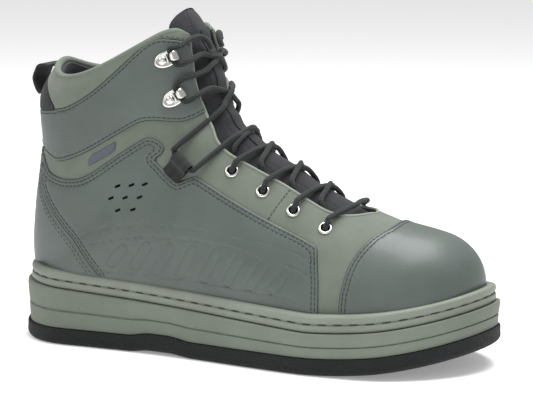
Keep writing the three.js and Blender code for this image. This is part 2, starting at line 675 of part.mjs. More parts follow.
// Eyelets: rolled rings with a short barrel, from the top of the row to the toe
const loopSpot = at(0.379, 0.597);
const hookSpots = seam([[0.363, 0.915], [0.346, 1.082]]);
const eyeletSeat = fitGap + 0.15;
const eyeletProfile = [
  [eyeletHole, -wall - 0.4],
  [eyeletHole + barrelWall, -wall - 0.4],
  [eyeletHole + barrelWall, 0],
  [eyeletFlange, 0],
  [eyeletFlange - 0.35 * eyeletRoll, eyeletRoll],
  [eyeletHole, 0.75 * eyeletRoll],
  [eyeletHole, -wall - 0.4],
].map(([radius, height]) => new THREE.Vector2(radius, height));
for (const { name, spot } of eyeletPlaces) {
  const ring = new THREE.LatheGeometry(eyeletProfile, eyeletSides).rotateX(Math.PI / 2);
  addMesh(name, mergeVertices(setOn(ring, spot, eyeletSeat), 1e-4), looks.metal);
}

// Webbing loops for the lace: a tail sewn down and an eye that the lace passes
const overSeat = 2 * fitGap + overlayThickness;
const eyeRadius = laceDiameter / 2 + 0.5;
const eyeWall = 1;
const eyeSteps = 5;
const eyeLift = eyeRadius + eyeWall;
const eyeCentre = loopReach - eyeLift;
const loopTail = 4;

function loopGeometry() {
  const outline = new THREE.Shape();
  outline.moveTo(-loopTail, 0);
  outline.lineTo(eyeCentre, 0);
  outline.absarc(eyeCentre, eyeLift, eyeLift, -Math.PI / 2, 0.9 * Math.PI, false);
  outline.lineTo(-loopTail, webbingThickness);
  const eye = new THREE.Path();
  eye.absarc(eyeCentre, eyeLift, eyeRadius, 0, 2 * Math.PI, false);
  outline.holes.push(eye);
  return band(outline, webbingWidth, eyeSteps);
}
for (const [name, side] of sides) {
  const spot = locate(loopSpot.along, loopSpot.up, side);
  addMesh(`lace_loop_${name}`, setOn(loopGeometry(), spot, overSeat), looks.webbing);
}

// Hooks: a riveted plate whose front end curls back over the lace
const curlInner = hookOpening / 2;
const curlLift = hookPlateThickness + curlInner;
const curlCentre = hookPlateLength / 2 - curlInner - hookMetal;
const hookWidth = hookPlateWidth - 2.5;
const rivetRadius = 2.6;
const rivetHeight = 0.8;
const rivetSides = 8;
const rivetPlace = 0.6 * rivetRadius - hookPlateLength / 4;
function hookGeometry() {
  const outline = new THREE.Shape();
  outline.moveTo(-hookPlateLength / 2, 0);
  outline.lineTo(curlCentre + curlInner, 0);
  outline.absarc(curlCentre, curlLift, curlInner + hookMetal, -0.3 * Math.PI, 0.62 * Math.PI, false);
  outline.absarc(curlCentre, curlLift, curlInner, 0.62 * Math.PI, -0.5 * Math.PI, true);
  outline.lineTo(-hookPlateLength / 2, hookPlateThickness);
  const strap = band(outline, hookWidth, eyeSteps);
  const tall = rivetHeight + hookPlateThickness;
  const rivet = new THREE.CylinderGeometry(0.6 * rivetRadius, rivetRadius, tall, rivetSides);
  rivet.rotateX(Math.PI / 2).translate(rivetPlace, 0, tall / 2 + fitGap / 2);
  return geometryOf(solidOf(strap).add(solidOf(rivet)));
}
for (const [name, side] of sides) {
  ['low', 'high'].forEach((height, i) => {
    const spot = locate(hookSpots[i].along, hookSpots[i].up, side);
    addMesh(`hook_${name}_${height}`, setOn(hookGeometry(), spot, overSeat), looks.metal);
  });
}

// Pull loop: a standing band of webbing behind the patch
const pullLoopSection = heelSection + 4.35;
function pullLoopGeometry() {
  const back = facePoint(pullLoopSection, 0, LATERAL);
  const rise = facePoint(pullLoopSection + 0.45, 0, LATERAL).sub(facePoint(pullLoopSection - 0.45, 0, LATERAL));
  const inner = -(fitGap + overlayThickness + fitGap);
  const half = pullLoopHeight / 2;
  const outline = new THREE.Shape();
  const bow = (reach, height) => new THREE.SplineCurve([
    new THREE.Vector2(inner, -height), new THREE.Vector2(inner - 0.45 * reach, -0.8 * height),
    new THREE.Vector2(inner - 0.9 * reach, -0.25 * height), new THREE.Vector2(inner - reach, 0.2 * height),
    new THREE.Vector2(inner - 0.8 * reach, 0.75 * height), new THREE.Vector2(inner, height),
  ]).getPoints(8);
  const inside = bow(pullLoopReach - webbingThickness, half - webbingThickness).reverse();
  outline.setFromPoints([...bow(pullLoopReach, half), ...inside]);
  const standing = band(outline, pullLoopWidth, 1).rotateY(Math.atan2(rise.x, rise.z));
  return standing.translate(back.x, 0, back.z);
}
addMesh('pull_loop', pullLoopGeometry(), looks.webbing);

// Laces: over each pair of holders a crossing of two strands, from just inside the throat's edge
// on one side to the next holder up on the other
const crossSides = 6;
const crossSteps = 6;
function cord(points, count, steps) {
  const turn = (2 * Math.PI) / count;
  const round = new THREE.Shape(Array.from({ length: count }, (_, i) =>
    new THREE.Vector2(Math.cos(turn * i), Math.sin(turn * i)).multiplyScalar(laceDiameter / 2)));
  const extrudePath = new THREE.CatmullRomCurve3(points);
  return new THREE.ExtrudeGeometry(round, { steps, bevelEnabled: false, extrudePath });
}

// A lace point over the throat, on section u, some way aside from the ridge and off the surface
function overThroat(u, side, reach, offset) {
  return skinPoint(u, reach < 0.01 ? Math.PI : angleAtWidth(u, side, reach), side, offset);
}

const laceLift = laceDiameter / 2 + fitGap;
const edgeInset = 3.4;
const aboveEyelet = eyeletSeat + eyeletRoll + laceLift + 0.5;
const eyeletHolder = (i) => ({
  arrive: (side) => {
    const spot = locate(eyeletSpots[i].along, eyeletSpots[i].up, side);
    return [
      overThroat(spot.u - 0.1, side, throatHalf(spot.u) - 1, laceLift + 1.6),
      placeOn(spot, aboveEyelet).point];
  },
  leave: (side) => {
    const spot = locate(eyeletSpots[i].along, eyeletSpots[i].up, side);
    return overThroat(spot.u + 0.34, side, throatHalf(spot.u) - edgeInset, laceLift + 0.6);
  },
});
const besideMiddle = laceDiameter / 2 + 0.1;
const besideHolder = (row, ahead, lift) => ({
  arrive: (side) => {
    const { point, throatward, upward } = placeOn(locate(row.along, row.up, side), overSeat + lift);
    return [point.addScaledVector(throatward, ahead).addScaledVector(upward, -besideMiddle)];
  },
  leave: (side) => {
    const { point, throatward, upward } = placeOn(locate(row.along, row.up, side), overSeat + lift);
    return point.addScaledVector(throatward, ahead).addScaledVector(upward, besideMiddle);
  },
});
const strandGap = 0.9;
const besideLoop = loopReach + eyeWall + strandGap;
const besideHook = hookPlateLength / 2 + 1.5 * strandGap;
const holders = [
  ...[3, 2, 1, 0].map((i) => ({ ...eyeletHolder(i), spot: eyeletSpots[i] })),
  { ...besideHolder(loopSpot, besideLoop, eyeLift), spot: loopSpot },
  ...hookSpots.map((spot) => ({ ...besideHolder(spot, besideHook, curlLift), spot })),
].map((holder) => ({ ...holder, u: locate(holder.spot.along, holder.spot.up, LATERAL).u }));
const loopRow = holders[3].u - 0.1;
const hookRow = holders[5].u + 0.1;
const overTongue = 1.9;
const overShaftTongue = 2.2;
function strand(from, to, side) {
  const crossing = (share) => {
    const u = from.u + share * (to.u - from.u);
    const reach = Math.abs(1 - 2 * share) * throatHalf(u);
    const clear = from.u > loopRow && to.u < hookRow ? overShaftTongue : overTongue;
    return overThroat(u, share < 0.5 ? side : -side, reach, laceLift + clear);
  };
  const route = [from.leave(side), crossing(0.28), crossing(0.5), crossing(0.72), ...to.arrive(-side)];
  return solidOf(cord(route, crossSides, crossSteps));
}
for (let i = 0; i + 1 < holders.length; i += 1) {
  const pair = strand(holders[i], holders[i + 1], LATERAL).add(strand(holders[i], holders[i + 1], MEDIAL));
  addMesh(`lace_cross_${i + 1}`, geometryOf(pair), looks.lace);
}
const barMiddle = overThroat(holders[0].u - 0.35, LATERAL, 0, laceLift + overTongue);
const barRoute = [...holders[0].arrive(LATERAL).reverse(), barMiddle, ...holders[0].arrive(MEDIAL)];
addMesh('lace_bar', cord(barRoute, crossSides, crossSteps), looks.lace);

// Free ends: from the upper hooks over the tongue and tucked down in front of it
const endSides = 8;
const endSteps = 9;
const endRoute = [
  [-38.2, 30.2, 191.5],
  [-37, 27.6, 193],
  [-35.6, 24.4, 194.6],
  [-34.2, 20.6, 196],
  [-33, 16.6, 196.8],
  [-31.8, 12.8, 196.6],
  [-30, 9.8, 195],
  [-28, 8, 192],
  [-26.6, 7.6, 188.8],
];
for (const [name, side] of sides) {
  const route = endRoute.map(([x, y, z]) => new THREE.Vector3(x, side * y, z));
  addMesh(`lace_end_${name}`, cord(route, endSides, endSteps), looks.lace);
}

export default root;
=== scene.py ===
"""A wading boot for the right foot: its finish, seams, tongue, laces and fittings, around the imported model.

Metres. +X points to the toe, +Z up, and the outer (lateral) side of the foot is -Y.
"""
import math

import bpy
import numpy as np
from mathutils import Matrix, Vector
from mathutils.bvhtree import BVHTree


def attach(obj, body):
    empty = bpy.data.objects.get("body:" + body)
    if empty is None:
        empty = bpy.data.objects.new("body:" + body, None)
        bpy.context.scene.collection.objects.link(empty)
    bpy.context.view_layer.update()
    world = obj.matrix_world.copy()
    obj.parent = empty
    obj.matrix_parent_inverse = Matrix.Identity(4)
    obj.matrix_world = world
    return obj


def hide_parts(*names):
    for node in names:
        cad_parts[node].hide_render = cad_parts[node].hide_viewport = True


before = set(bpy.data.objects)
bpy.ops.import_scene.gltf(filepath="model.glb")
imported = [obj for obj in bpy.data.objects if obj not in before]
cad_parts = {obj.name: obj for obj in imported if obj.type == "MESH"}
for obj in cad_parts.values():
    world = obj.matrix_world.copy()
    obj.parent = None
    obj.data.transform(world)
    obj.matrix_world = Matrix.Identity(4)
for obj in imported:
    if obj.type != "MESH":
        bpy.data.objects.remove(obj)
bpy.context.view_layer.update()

MM = 0.001
LATERAL, MEDIAL = -1, 1

# The photo's frame and the place in it that the camera's axis passes
frame_width, frame_height = 533, 400
axis_px, axis_py = 256, 191

# Driving dimensions of the sole
outsole_length = 315 * MM
ball_width = 121 * MM
heel_round = 42 * MM
toe_round = 64 * MM
felt_thickness = 10 * MM
felt_bevel = 3.5 * MM
felt_flare = 0.5 * MM
heel_midsole = 28 * MM
fore_midsole = 15.5 * MM
toe_spring = 16 * MM
heel_rise = 1.2 * MM
arch_gap = 1.6 * MM
midsole_tuck = 1.2 * MM
midsole_groove = 0.9 * MM
welt_ledge = 2.6 * MM
welt_height = 11 * MM
stitch_groove = 1.2 * MM
insole_thickness = 4 * MM

# Driving dimensions of the upper
heel_margin = 7.5 * MM
side_margin = 10.5 * MM
toe_margin = 11 * MM
shaft_height = 140 * MM
upper_width = 104 * MM
wall = 2.4 * MM
overlay = 1.2 * MM
tongue_margin = 8 * MM
tongue_gap = 1.3 * MM
fit_gap = 0.3 * MM
heel_end = -outsole_length / 2
toe_end = outsole_length / 2
foot_length = outsole_length - heel_margin - toe_margin

# The camera and the photo's angle
view_target = Vector((0, 0, 100 * MM))
view_distance = 1500 * MM
view_azimuth = math.radians(24)
view_elevation = math.radians(9)
sensor = 36.0
focal_px = 2400


def make_camera():
    data = bpy.data.cameras.new("camera")
    data.sensor_width = sensor
    data.lens = sensor * focal_px / frame_width
    data.shift_x = (frame_width / 2 - axis_px) / frame_width
    data.shift_y = (axis_py - frame_height / 2) / frame_width
    data.clip_start = 0.05
    data.clip_end = 50
    camera = bpy.data.objects.new("camera", data)
    bpy.context.scene.collection.objects.link(camera)
    flat = math.cos(view_elevation)
    back = Vector((math.sin(view_azimuth) * flat, -math.cos(view_azimuth) * flat, math.sin(view_elevation)))
    camera.location = view_target + view_distance * back
    camera.rotation_euler = back.to_track_quat("Z", "Y").to_euler()
    bpy.context.scene.camera = camera


make_camera()


# Materials
def linear(code):
    """An sRGB hex colour as linear red, green, blue and alpha."""
    def one(value):
        value /= 255
        return value / 12.92 if value <= 0.04045 else ((value + 0.055) / 1.055) ** 2.4
    return tuple(one(int(code[i:i + 2], 16)) for i in (1, 3, 5)) + (1.0,)


def add(tree, kind, links=None, **settings):
    """Adds a node, sets its sockets or properties by name, and links sockets that are given as pairs."""
    node = tree.nodes.new(kind)
    for key, value in settings.items():
        if hasattr(node, key):
            setattr(node, key, value)
        else:
            node.inputs[key.replace("_", " ")].default_value = value
    for socket, source in (links or {}).items():
        tree.links.new(source, node.inputs[socket])
    return node


def ramp(tree, source, stops):
    node = add(tree, "ShaderNodeValToRGB", {"Fac": source})
    while len(node.color_ramp.elements) < len(stops):
        node.color_ramp.elements.new(0.5)
    for element, (place, colour) in zip(node.color_ramp.elements, stops):
        element.position = place
        element.color = linear(colour) if isinstance(colour, str) else (colour, colour, colour, 1)
    return node


def base_material(name, roughness, metallic=0.0, ior=1.5):
    material = bpy.data.materials.new(name)
    material.use_nodes = True
    tree = material.node_tree
    shader = tree.nodes["Principled BSDF"]
    shader.inputs["Roughness"].default_value = roughness
    shader.inputs["Metallic"].default_value = metallic
    shader.inputs["IOR"].default_value = ior
    place = add(tree, "ShaderNodeTexCoord").outputs["Object"]
    return material, tree, shader, place


def grained(name, dark, light, roughness, grain, depth, blotch=40 * MM, sheen=0.0, coat=0.0):
    """Leather, rubber or foam: soft blotches of two tones and a grain of the given size and depth."""
    material, tree, shader, place = base_material(name, roughness)
    cloud = add(tree, "ShaderNodeTexNoise", {"Vector": place}, Scale=1 / blotch, Detail=5.0, Roughness=0.6)
    tone = ramp(tree, cloud.outputs["Fac"], [(0.32, dark), (0.68, light)])
    fine = add(tree, "ShaderNodeTexNoise", {"Vector": place}, Scale=1 / grain, Detail=3.0, Roughness=0.7)
    speck = ramp(tree, fine.outputs["Fac"], [(0.3, 0.86), (0.7, 1.1)])
    colour = add(tree, "ShaderNodeMix", data_type="RGBA", blend_type="MULTIPLY")
    colour.inputs[0].default_value = 0.55
    tree.links.new(tone.outputs["Color"], colour.inputs[6])
    tree.links.new(speck.outputs["Color"], colour.inputs[7])
    tree.links.new(colour.outputs[2], shader.inputs["Base Color"])
    cells = add(tree, "ShaderNodeTexVoronoi", {"Vector": place}, Scale=1 / grain)
    heights = {0: cells.outputs["Distance"], 1: fine.outputs["Fac"]}
    height = add(tree, "ShaderNodeMath", heights, operation="ADD")
    bump = add(tree, "ShaderNodeBump", {"Height": height.outputs[0]}, Strength=1.0, Distance=depth)
    tree.links.new(bump.outputs["Normal"], shader.inputs["Normal"])
    shader.inputs["Sheen Weight"].default_value = sheen
    shader.inputs["Coat Weight"].default_value = coat
    return material


# Coated split leather, embossed with a fine grain: an even satin grey green
smooth_leather = grained("coated_leather", "#414945", "#4a534f", 0.5, 0.9 * MM, 0.05 * MM, coat=0.05)
# Brushed nubuck: a short nap that reads lighter, dusty and without gloss
nubuck = grained("brushed_nubuck", "#575e54", "#61685e", 0.88, 0.5 * MM, 0.06 * MM, 22 * MM, sheen=0.12)
# Moulded foam of the midsole and moulded rubber of the welt
foam = grained("moulded_foam", "#5c6359", "#666d62", 0.72, 0.7 * MM, 0.04 * MM)
welt_rubber = grained("moulded_rubber", "#676d62", "#72796e", 0.58, 0.8 * MM, 0.04 * MM, coat=0.04)
# Pressed felt: matted black fibre
felt = grained("pressed_felt", "#060709", "#0c0e10", 0.97, 1.1 * MM, 0.5 * MM, 9 * MM, sheen=0.04)
# Knitted spacer cloth of the tongue, and the dark lining
tongue_cloth = grained("spacer_knit", "#16171a", "#1d1d21", 0.92, 0.8 * MM, 0.15 * MM, sheen=0.06)
lining_cloth = grained("lining_cloth", "#21232b", "#2b2e37", 0.9, 0.7 * MM, 0.1 * MM, sheen=0.12)
webbing = grained("woven_nylon", "#111314", "#1a1c1d", 0.85, 0.6 * MM, 0.2 * MM, sheen=0.05)
piping_leather = grained("piping_leather", "#6a7165", "#7a8277", 0.7, 0.5 * MM, 0.03 * MM)
tab_weave = grained("woven_tab", "#43474f", "#50545d", 0.8, 0.4 * MM, 0.12 * MM)
thread = grained("sewing_thread", "#222825", "#2c332f", 0.7, 0.3 * MM, 0.05 * MM)
# Dark thread of the welt and eyestay seams; the same material also colours the painted shadow cords along the panels'
# edges
dark_thread_and_edge_shadow = grained("welt_thread_and_edge_shadow", "#1c2125", "#262c29", 0.7, 0.3 * MM, 0.05 * MM)


def woven(name, dark, light, pitch, ends, depth, roughness=0.85):
    """Braid or webbing: ribs that cross along and round a cord or strap, from its own UV places."""
    material, tree, shader, place = base_material(name, roughness)
    spot = add(tree, "ShaderNodeTexCoord").outputs["UV"]
    parts = add(tree, "ShaderNodeSeparateXYZ", {"Vector": spot})
    run = add(tree, "ShaderNodeMath", {0: parts.outputs["X"]}, operation="MULTIPLY")
    run.inputs[1].default_value = 2 * math.pi / pitch
    turn = add(tree, "ShaderNodeMath", {0: parts.outputs["Y"]}, operation="MULTIPLY")
    turn.inputs[1].default_value = 2 * math.pi * ends
    waves = []
    for operation in ("ADD", "SUBTRACT"):
        phase = add(tree, "ShaderNodeMath", {0: run.outputs[0], 1: turn.outputs[0]}, operation=operation)
        waves.append(add(tree, "ShaderNodeMath", {0: phase.outputs[0]}, operation="SINE").outputs[0])
    cross = add(tree, "ShaderNodeMath", {0: waves[0], 1: waves[1]}, operation="MULTIPLY")
    tone = ramp(tree, cross.outputs[0], [(0.0, dark), (0.55, light)])
    fuzz = add(tree, "ShaderNodeTexNoise", {"Vector": place}, Scale=1 / (0.35 * MM), Detail=3.0)
    height = add(tree, "ShaderNodeMath", {0: cross.outputs[0], 1: fuzz.outputs["Fac"]}, operation="ADD")
    bump = add(tree, "ShaderNodeBump", {"Height": height.outputs[0]}, Strength=1.0, Distance=depth)
    tree.links.new(bump.outputs["Normal"], shader.inputs["Normal"])
    tree.links.new(tone.outputs["Color"], shader.inputs["Base Color"])
    shader.inputs["Sheen Weight"].default_value = 0.06
    return material


# Round braided polyester of the laces, and ribbed nylon of the straps
cord_fibre = woven("braided_polyester", "#0f1212", "#232927", 3.0, 4, 0.22 * MM)
ribbed_webbing = woven("ribbed_webbing", "#0c0d0e", "#1c1e1f", 1.5, 9, 0.12 * MM)


def metal(name, code, roughness):
    material, tree, shader, place = base_material(name, roughness, metallic=1.0)
    scratch = add(tree, "ShaderNodeTexNoise", {"Vector": place}, Scale=1 / (1.2 * MM), Detail=4.0)
    rough = add(tree, "ShaderNodeMapRange", {"Value": scratch.outputs["Fac"]},
                To_Min=roughness - 0.06, To_Max=roughness + 0.1)
    tree.links.new(rough.outputs["Result"], shader.inputs["Roughness"])
    shader.inputs["Base Color"].default_value = linear(code)
    return material


# Nickel plate over brass: a bright, slightly warm mirror with fine wear
nickel = metal("nickel_plate", "#c9c8c4", 0.22)


# Curves read from short tables
class Column:
    """Monotone cubic through the values of one column."""

    def __init__(self, keys, values):
        x, y = np.array(keys, float), np.array(values, float)
        secant = np.diff(y) / np.diff(x)
        slope = np.concatenate([secant[:1], np.zeros(len(x) - 2), secant[-1:]])
        for i in range(1, len(x) - 1):
            before, after = secant[i - 1], secant[i]
            if before * after > 0:
                mean = (before + after) / 2
                slope[i] = math.copysign(min(2 * abs(before), 2 * abs(after), abs(mean)), mean)
        self.x, self.y, self.slope = x, y, slope

    def __call__(self, at):
        at = np.asarray(at, float)
        k = np.clip(np.searchsorted(self.x, at, side="left") - 1, 0, len(self.x) - 2)
        width = self.x[k + 1] - self.x[k]
        t = np.clip((at - self.x[k]) / width, 0, 1)
        a, b = self.y[k], self.y[k + 1]
        start, end = self.slope[k] * width, self.slope[k + 1] * width
        return a + t * start + t * t * (3 * (b - a) - 2 * start - end) + t ** 3 * (2 * (a - b) + start + end)


def columns(names, rows):
    """A table's columns by name, each as a curve over its first column."""
    keys = [row[0] for row in rows]
    return {name: Column(keys, [row[i] for row in rows]) for i, name in enumerate(names) if i > 0}


def smooth(t):
    t = np.clip(t, 0, 1)
    return t * t * (3 - 2 * t)


def round_end(distance, run):
    left = 1 - np.clip(distance / run, 0, 1)
    return np.sqrt(np.maximum(0, 1 - left ** 2.15))


# The sole seen from above, as shares of the ball width
sole = columns(("along", "lateral", "medial", "bend"), [
    (0.0, 0.352, 0.35, 0.0),
    (0.13, 0.368, 0.362, 0.0),
    (0.27, 0.37, 0.345, 0.002),
    (0.42, 0.4, 0.345, 0.0),
    (0.56, 0.455, 0.4, -0.002),
    (0.69, 0.494, 0.47, 0.0),
    (0.8, 0.49, 0.485, 0.012),
    (0.9, 0.455, 0.455, 0.03),
    (1.0, 0.41, 0.41, 0.05),
])


def along(x):
    return (x - heel_end) / outsole_length


def centre_line(x):
    return ball_width * sole["bend"](along(x))


def half_width(side, x, heel_inset, side_inset, toe_inset):
    shares = np.where(np.asarray(side) == LATERAL, sole["lateral"](along(x)), sole["medial"](along(x)))
    wide = ball_width * shares
    heel = round_end(x - heel_end - heel_inset, heel_round - heel_inset)
    toe = round_end(toe_end - toe_inset - x, toe_round - toe_inset)
    return (wide - side_inset) * heel * toe


def toe_lift(x):
    return toe_spring * np.maximum(0, (along(x) - 0.66) / 0.34) ** 2


def heel_lift(x):
    return heel_rise * np.maximum(0, (0.06 - along(x)) / 0.06) ** 2


def arch_lift(x):
    return arch_gap * smooth((along(x) - 0.28) / 0.05) * smooth((0.43 - along(x)) / 0.06)


def midsole_thickness(x):
    return heel_midsole + (fore_midsole - heel_midsole) * np.clip(along(x) / 0.68, 0, 1)


def ground_line(x):
    return toe_lift(x) + heel_lift(x) + arch_lift(x)


def felt_top(x):
    return felt_thickness + toe_lift(x) + heel_lift(x) + 1.4 * arch_lift(x)


def midsole_top(x):
    return felt_thickness + midsole_thickness(x) + toe_lift(x)


def footbed(x):
    return midsole_top(x) + fit_gap


# The sections of the upper, a fan of planes from the toe round the instep to the collar
heel_section, throat_section, collar_section = 14, 7, 19
sections = columns(
    ("at", "base_along", "base_up", "front_along", "front_up", "lateral", "medial", "full", "lean", "throat", "dip"), [
        (0, 0.82, 0, 1.0, 0, 0.05, 0.05, 1.14, 1, 0, 0),
        (1, 0.812, 0, 1.002, 0.085, 0.055, 0.055, 1.08, 1, 0, 0),
        (2, 0.801, 0, 0.992, 0.175, 0.06, 0.06, 1.0, 1, 0, 0),
        (3, 0.788, 0, 0.969, 0.253, 0.07, 0.07, 0.94, 1, 0, 0),
        (4, 0.773, 0, 0.936, 0.315, 0.08, 0.08, 0.9, 1, 0, 0),
        (5, 0.754, 0, 0.892, 0.36, 0.085, 0.085, 0.87, 1, 0, 0),
        (6, 0.727, 0, 0.832, 0.409, 0.09, 0.09, 0.9, 1, 0, 0),
        (7, 0.69, 0, 0.775, 0.465, 0.1, 0.1, 0.94, 1, 0.2, 0),
        (8, 0.615, 0, 0.694, 0.545, 0.125, 0.125, 0.97, 1, 0.215, 0),
        (9, 0.54, 0, 0.626, 0.62, 0.17, 0.165, 0.98, 1, 0.215, 0),
        (10, 0.44, 0, 0.56, 0.695, 0.22, 0.22, 0.98, 1, 0.225, 0),
        (11, 0.325, 0, 0.505, 0.762, 0.25, 0.25, 0.96, 1, 0.235, 0),
        (12, 0.195, 0, 0.476, 0.815, 0.255, 0.25, 0.93, 1, 0.225, 0),
        (13, 0.075, 0, 0.46, 0.863, 0.275, 0.27, 0.9, 1.02, 0.2, 0),
        (14, 0, 0, 0.448, 0.912, 0.4, 0.394, 0.88, 1.05, 0.2, 0),
        (15, -0.006, 0.12, 0.438, 0.965, 0.396, 0.39, 0.87, 1.08, 0.205, 0),
        (16, 0.003, 0.35, 0.427, 1.03, 0.39, 0.385, 0.86, 1.1, 0.205, 0.02),
        (17, 0.02, 0.62, 0.415, 1.1, 0.388, 0.383, 0.86, 1.12, 0.195, 0.05),
        (18, 0.018, 0.84, 0.402, 1.165, 0.388, 0.383, 0.86, 1.12, 0.18, 0.08),
        (19, 0.052, 1, 0.39, 1.225, 0.37, 0.365, 0.88, 1.1, 0.16, 0.1),
        (20, 0.06, 1.05, 0.36, 1.31, 0.36, 0.355, 0.9, 1.1, 0.15, 0.1),
    ])
throat_run = 0.85


def foot_x(share):
    return heel_end + heel_margin + share * foot_length


def throat_half(u):
    return upper_width * sections["throat"](u) * round_end(u - throat_section, throat_run)


def sole_reach(u, side):
    reach = half_width(side, foot_x(sections["base_along"](u)), heel_margin, side_margin, toe_margin)
    return np.where(np.asarray(u) >= heel_section, 0.0, reach)


def ring_reach(u, side):
    bulge = np.where(np.asarray(side) == LATERAL, sections["lateral"](u), sections["medial"](u))
    return np.hypot(sole_reach(u, side), upper_width * bulge)


def start_angle(u, side):
    return np.arcsin((sole_reach(u, side) / ring_reach(u, side)) ** (1 / sections["full"](u)))


def angle_at(u, side, reach):
    share = np.minimum(1, reach / ring_reach(u, side)) ** (1 / sections["full"](u))
    return np.pi - np.arcsin(share)


def face_point(u, angle, side):
    """A point of the upper's outer face on section u, at an angle round the ring from under the foot."""
    first = start_angle(u, side)
    share = np.maximum(0, (np.cos(first) - np.cos(angle)) / (1 + np.cos(first))) ** sections["lean"](u)
    base_x, front_x = foot_x(sections["base_along"](u)), foot_x(sections["front_along"](u))
    base_z = footbed(base_x) + shaft_height * sections["base_up"](u)
    front_z = footbed(front_x) + shaft_height * sections["front_up"](u)
    x = base_x + (front_x - base_x) * share
    hollow = np.sin(np.pi * np.minimum(1, share / 0.85) ** 0.65)
    z = base_z + (front_z - base_z) * share - shaft_height * sections["dip"](u) * hollow
    reach = ring_reach(u, side) * np.maximum(0, np.sin(angle)) ** sections["full"](u)
    return np.stack([x, centre_line(x) + side * reach, z], axis=-1)


# Skins: triangulated pieces of the upper's surface, carried as arrays until they are finished
class Skin:
    """Points with outward normals and the values known at them, and the triangles between them."""

    def __init__(self, points, normals, tris, values):
        self.points, self.normals, self.tris, self.values = points, normals, tris, values

    def kept(self, tris):
        used, index = np.unique(tris, return_inverse=True)
        values = {name: value[used] for name, value in self.values.items()}
        return Skin(self.points[used], self.normals[used], index.reshape(-1, 3), values)


def vertex_normals(points, tris):
    corners = points[tris]
    face = np.cross(corners[:, 1] - corners[:, 0], corners[:, 2] - corners[:, 0])
    normals = np.zeros_like(points)
    for corner in range(3):
        np.add.at(normals, tris[:, corner], face)
    return normals / np.maximum(np.linalg.norm(normals, axis=1, keepdims=True), 1e-12)


def split(skin, value, level, keep_low=True, snap=0.06 * MM):
    """Cuts the triangles along value = level, and leaves out what is below it unless keep_low is set."""
    value = np.where(np.abs(value - level) < snap, level, value)
    high, low = value > level, value < level
    tri_high, tri_low = high[skin.tris], low[skin.tris]
    crossing = tri_high.any(axis=1) & tri_low.any(axis=1)
    whole = skin.tris[~crossing]
    if not keep_low:
        whole = whole[~low[whole].any(axis=1)]
    points, normals = [skin.points], [skin.normals]
    values = {name: [entry] for name, entry in skin.values.items()}
    cut = skin.tris[crossing]
    edges = np.concatenate([cut[:, [0, 1]], cut[:, [1, 2]], cut[:, [2, 0]]])
    edges = np.unique(np.sort(edges, axis=1), axis=0)
    a, b = value[edges[:, 0]], value[edges[:, 1]]
    across = (a - level) * (b - level) < 0
    edges, a, b = edges[across], a[across], b[across]
    share = ((level - a) / (b - a))[:, None]
    mix = lambda entry: entry[edges[:, 0]] + (entry[edges[:, 1]] - entry[edges[:, 0]]) * (
        share if entry.ndim > 1 else share[:, 0])
    points.append(mix(skin.points))
    blended = mix(skin.normals)
    normals.append(blended / np.linalg.norm(blended, axis=1, keepdims=True))
    for name, entry in skin.values.items():
        values[name].append(mix(entry))
    first = len(skin.points)
    on_edge = {(int(e[0]), int(e[1])): first + i for i, e in enumerate(edges)}
    new = []
    state = np.sign(value - level)
    for tri in cut:
        ring, sides = [], []
        for i in range(3):
            p, q = int(tri[i]), int(tri[(i + 1) % 3])
            ring.append(p)
            sides.append(state[p])
            key = (min(p, q), max(p, q))
            if key in on_edge:
                ring.append(on_edge[key])
                sides.append(0)
        for sign in ((1, -1) if keep_low else (1,)):
            part = [v for v, s in zip(ring, sides) if s * sign >= 0]
            new += [(part[0], part[i], part[i + 1]) for i in range(1, len(part) - 1)]
    tris = np.concatenate([whole, np.array(new, int).reshape(-1, 3)])
    joined = Skin(np.concatenate(points), np.concatenate(normals), tris,
                  {name: np.concatenate(entry) for name, entry in values.items()})
    return joined.kept(joined.tris)


def outline_distance(skin, outline):
    """How far each point is inside a side-view outline, along the surface and negative outside it."""
    flat = skin.points[:, [0, 2]]
    a, b = outline, np.roll(outline, -1, axis=0)
    step = b - a
    length = np.maximum((step ** 2).sum(axis=1), 1e-12)
    best = np.full(len(flat), np.inf)
    toward = np.zeros_like(flat)
    inside = np.zeros(len(flat), bool)
    for i in range(len(a)):
        share = np.clip(((flat - a[i]) @ step[i]) / length[i], 0, 1)
        offset = flat - (a[i] + share[:, None] * step[i])
        distance = (offset ** 2).sum(axis=1)
        closer = distance < best
        best = np.where(closer, distance, best)
        toward[closer] = offset[closer]
        spans = (a[i, 1] > flat[:, 1]) != (b[i, 1] > flat[:, 1])
        rise = step[i, 1] if abs(step[i, 1]) > 1e-12 else 1e-12
        inside ^= spans & (flat[:, 0] < a[i, 0] + step[i, 0] * (flat[:, 1] - a[i, 1]) / rise)
    distance = np.sqrt(best)
    facing = (toward * skin.normals[:, [0, 2]]).sum(axis=1) / np.maximum(distance, 1e-9)
    true = distance / np.sqrt(np.clip(1 - facing ** 2, 0.12, 1))
    return np.where(inside, true, -true)


def rounded_curve(rows, steps=6):
    """A smooth side-view curve through rows of shares along the foot and up the shaft, in metres."""
    x = foot_x(np.array([row[0] for row in rows]))
    z = footbed(x) + shaft_height * np.array([row[1] for row in rows])
    points = np.stack([x, z], axis=1)
    ends = np.concatenate([2 * points[:1] - points[1:2], points, 2 * points[-1:] - points[-2:-1]])
    out = []
    for i in range(1, len(ends) - 2):
        p0, p1, p2, p3 = ends[i - 1:i + 3]
        for k in range(steps):
            t = k / steps
            out.append(0.5 * (2 * p1 + (p2 - p0) * t + (2 * p0 - 5 * p1 + 4 * p2 - p3) * t * t
                              + (3 * p1 - p0 - 3 * p2 + p3) * t ** 3))
    return np.array(out + [points[-1]])


def corners(*rows):
    """Side-view points joined by straight lines."""
    x = foot_x(np.array([row[0] for row in rows]))
    z = footbed(x) + shaft_height * np.array([row[1] for row in rows])
    return np.stack([x, z], axis=1)


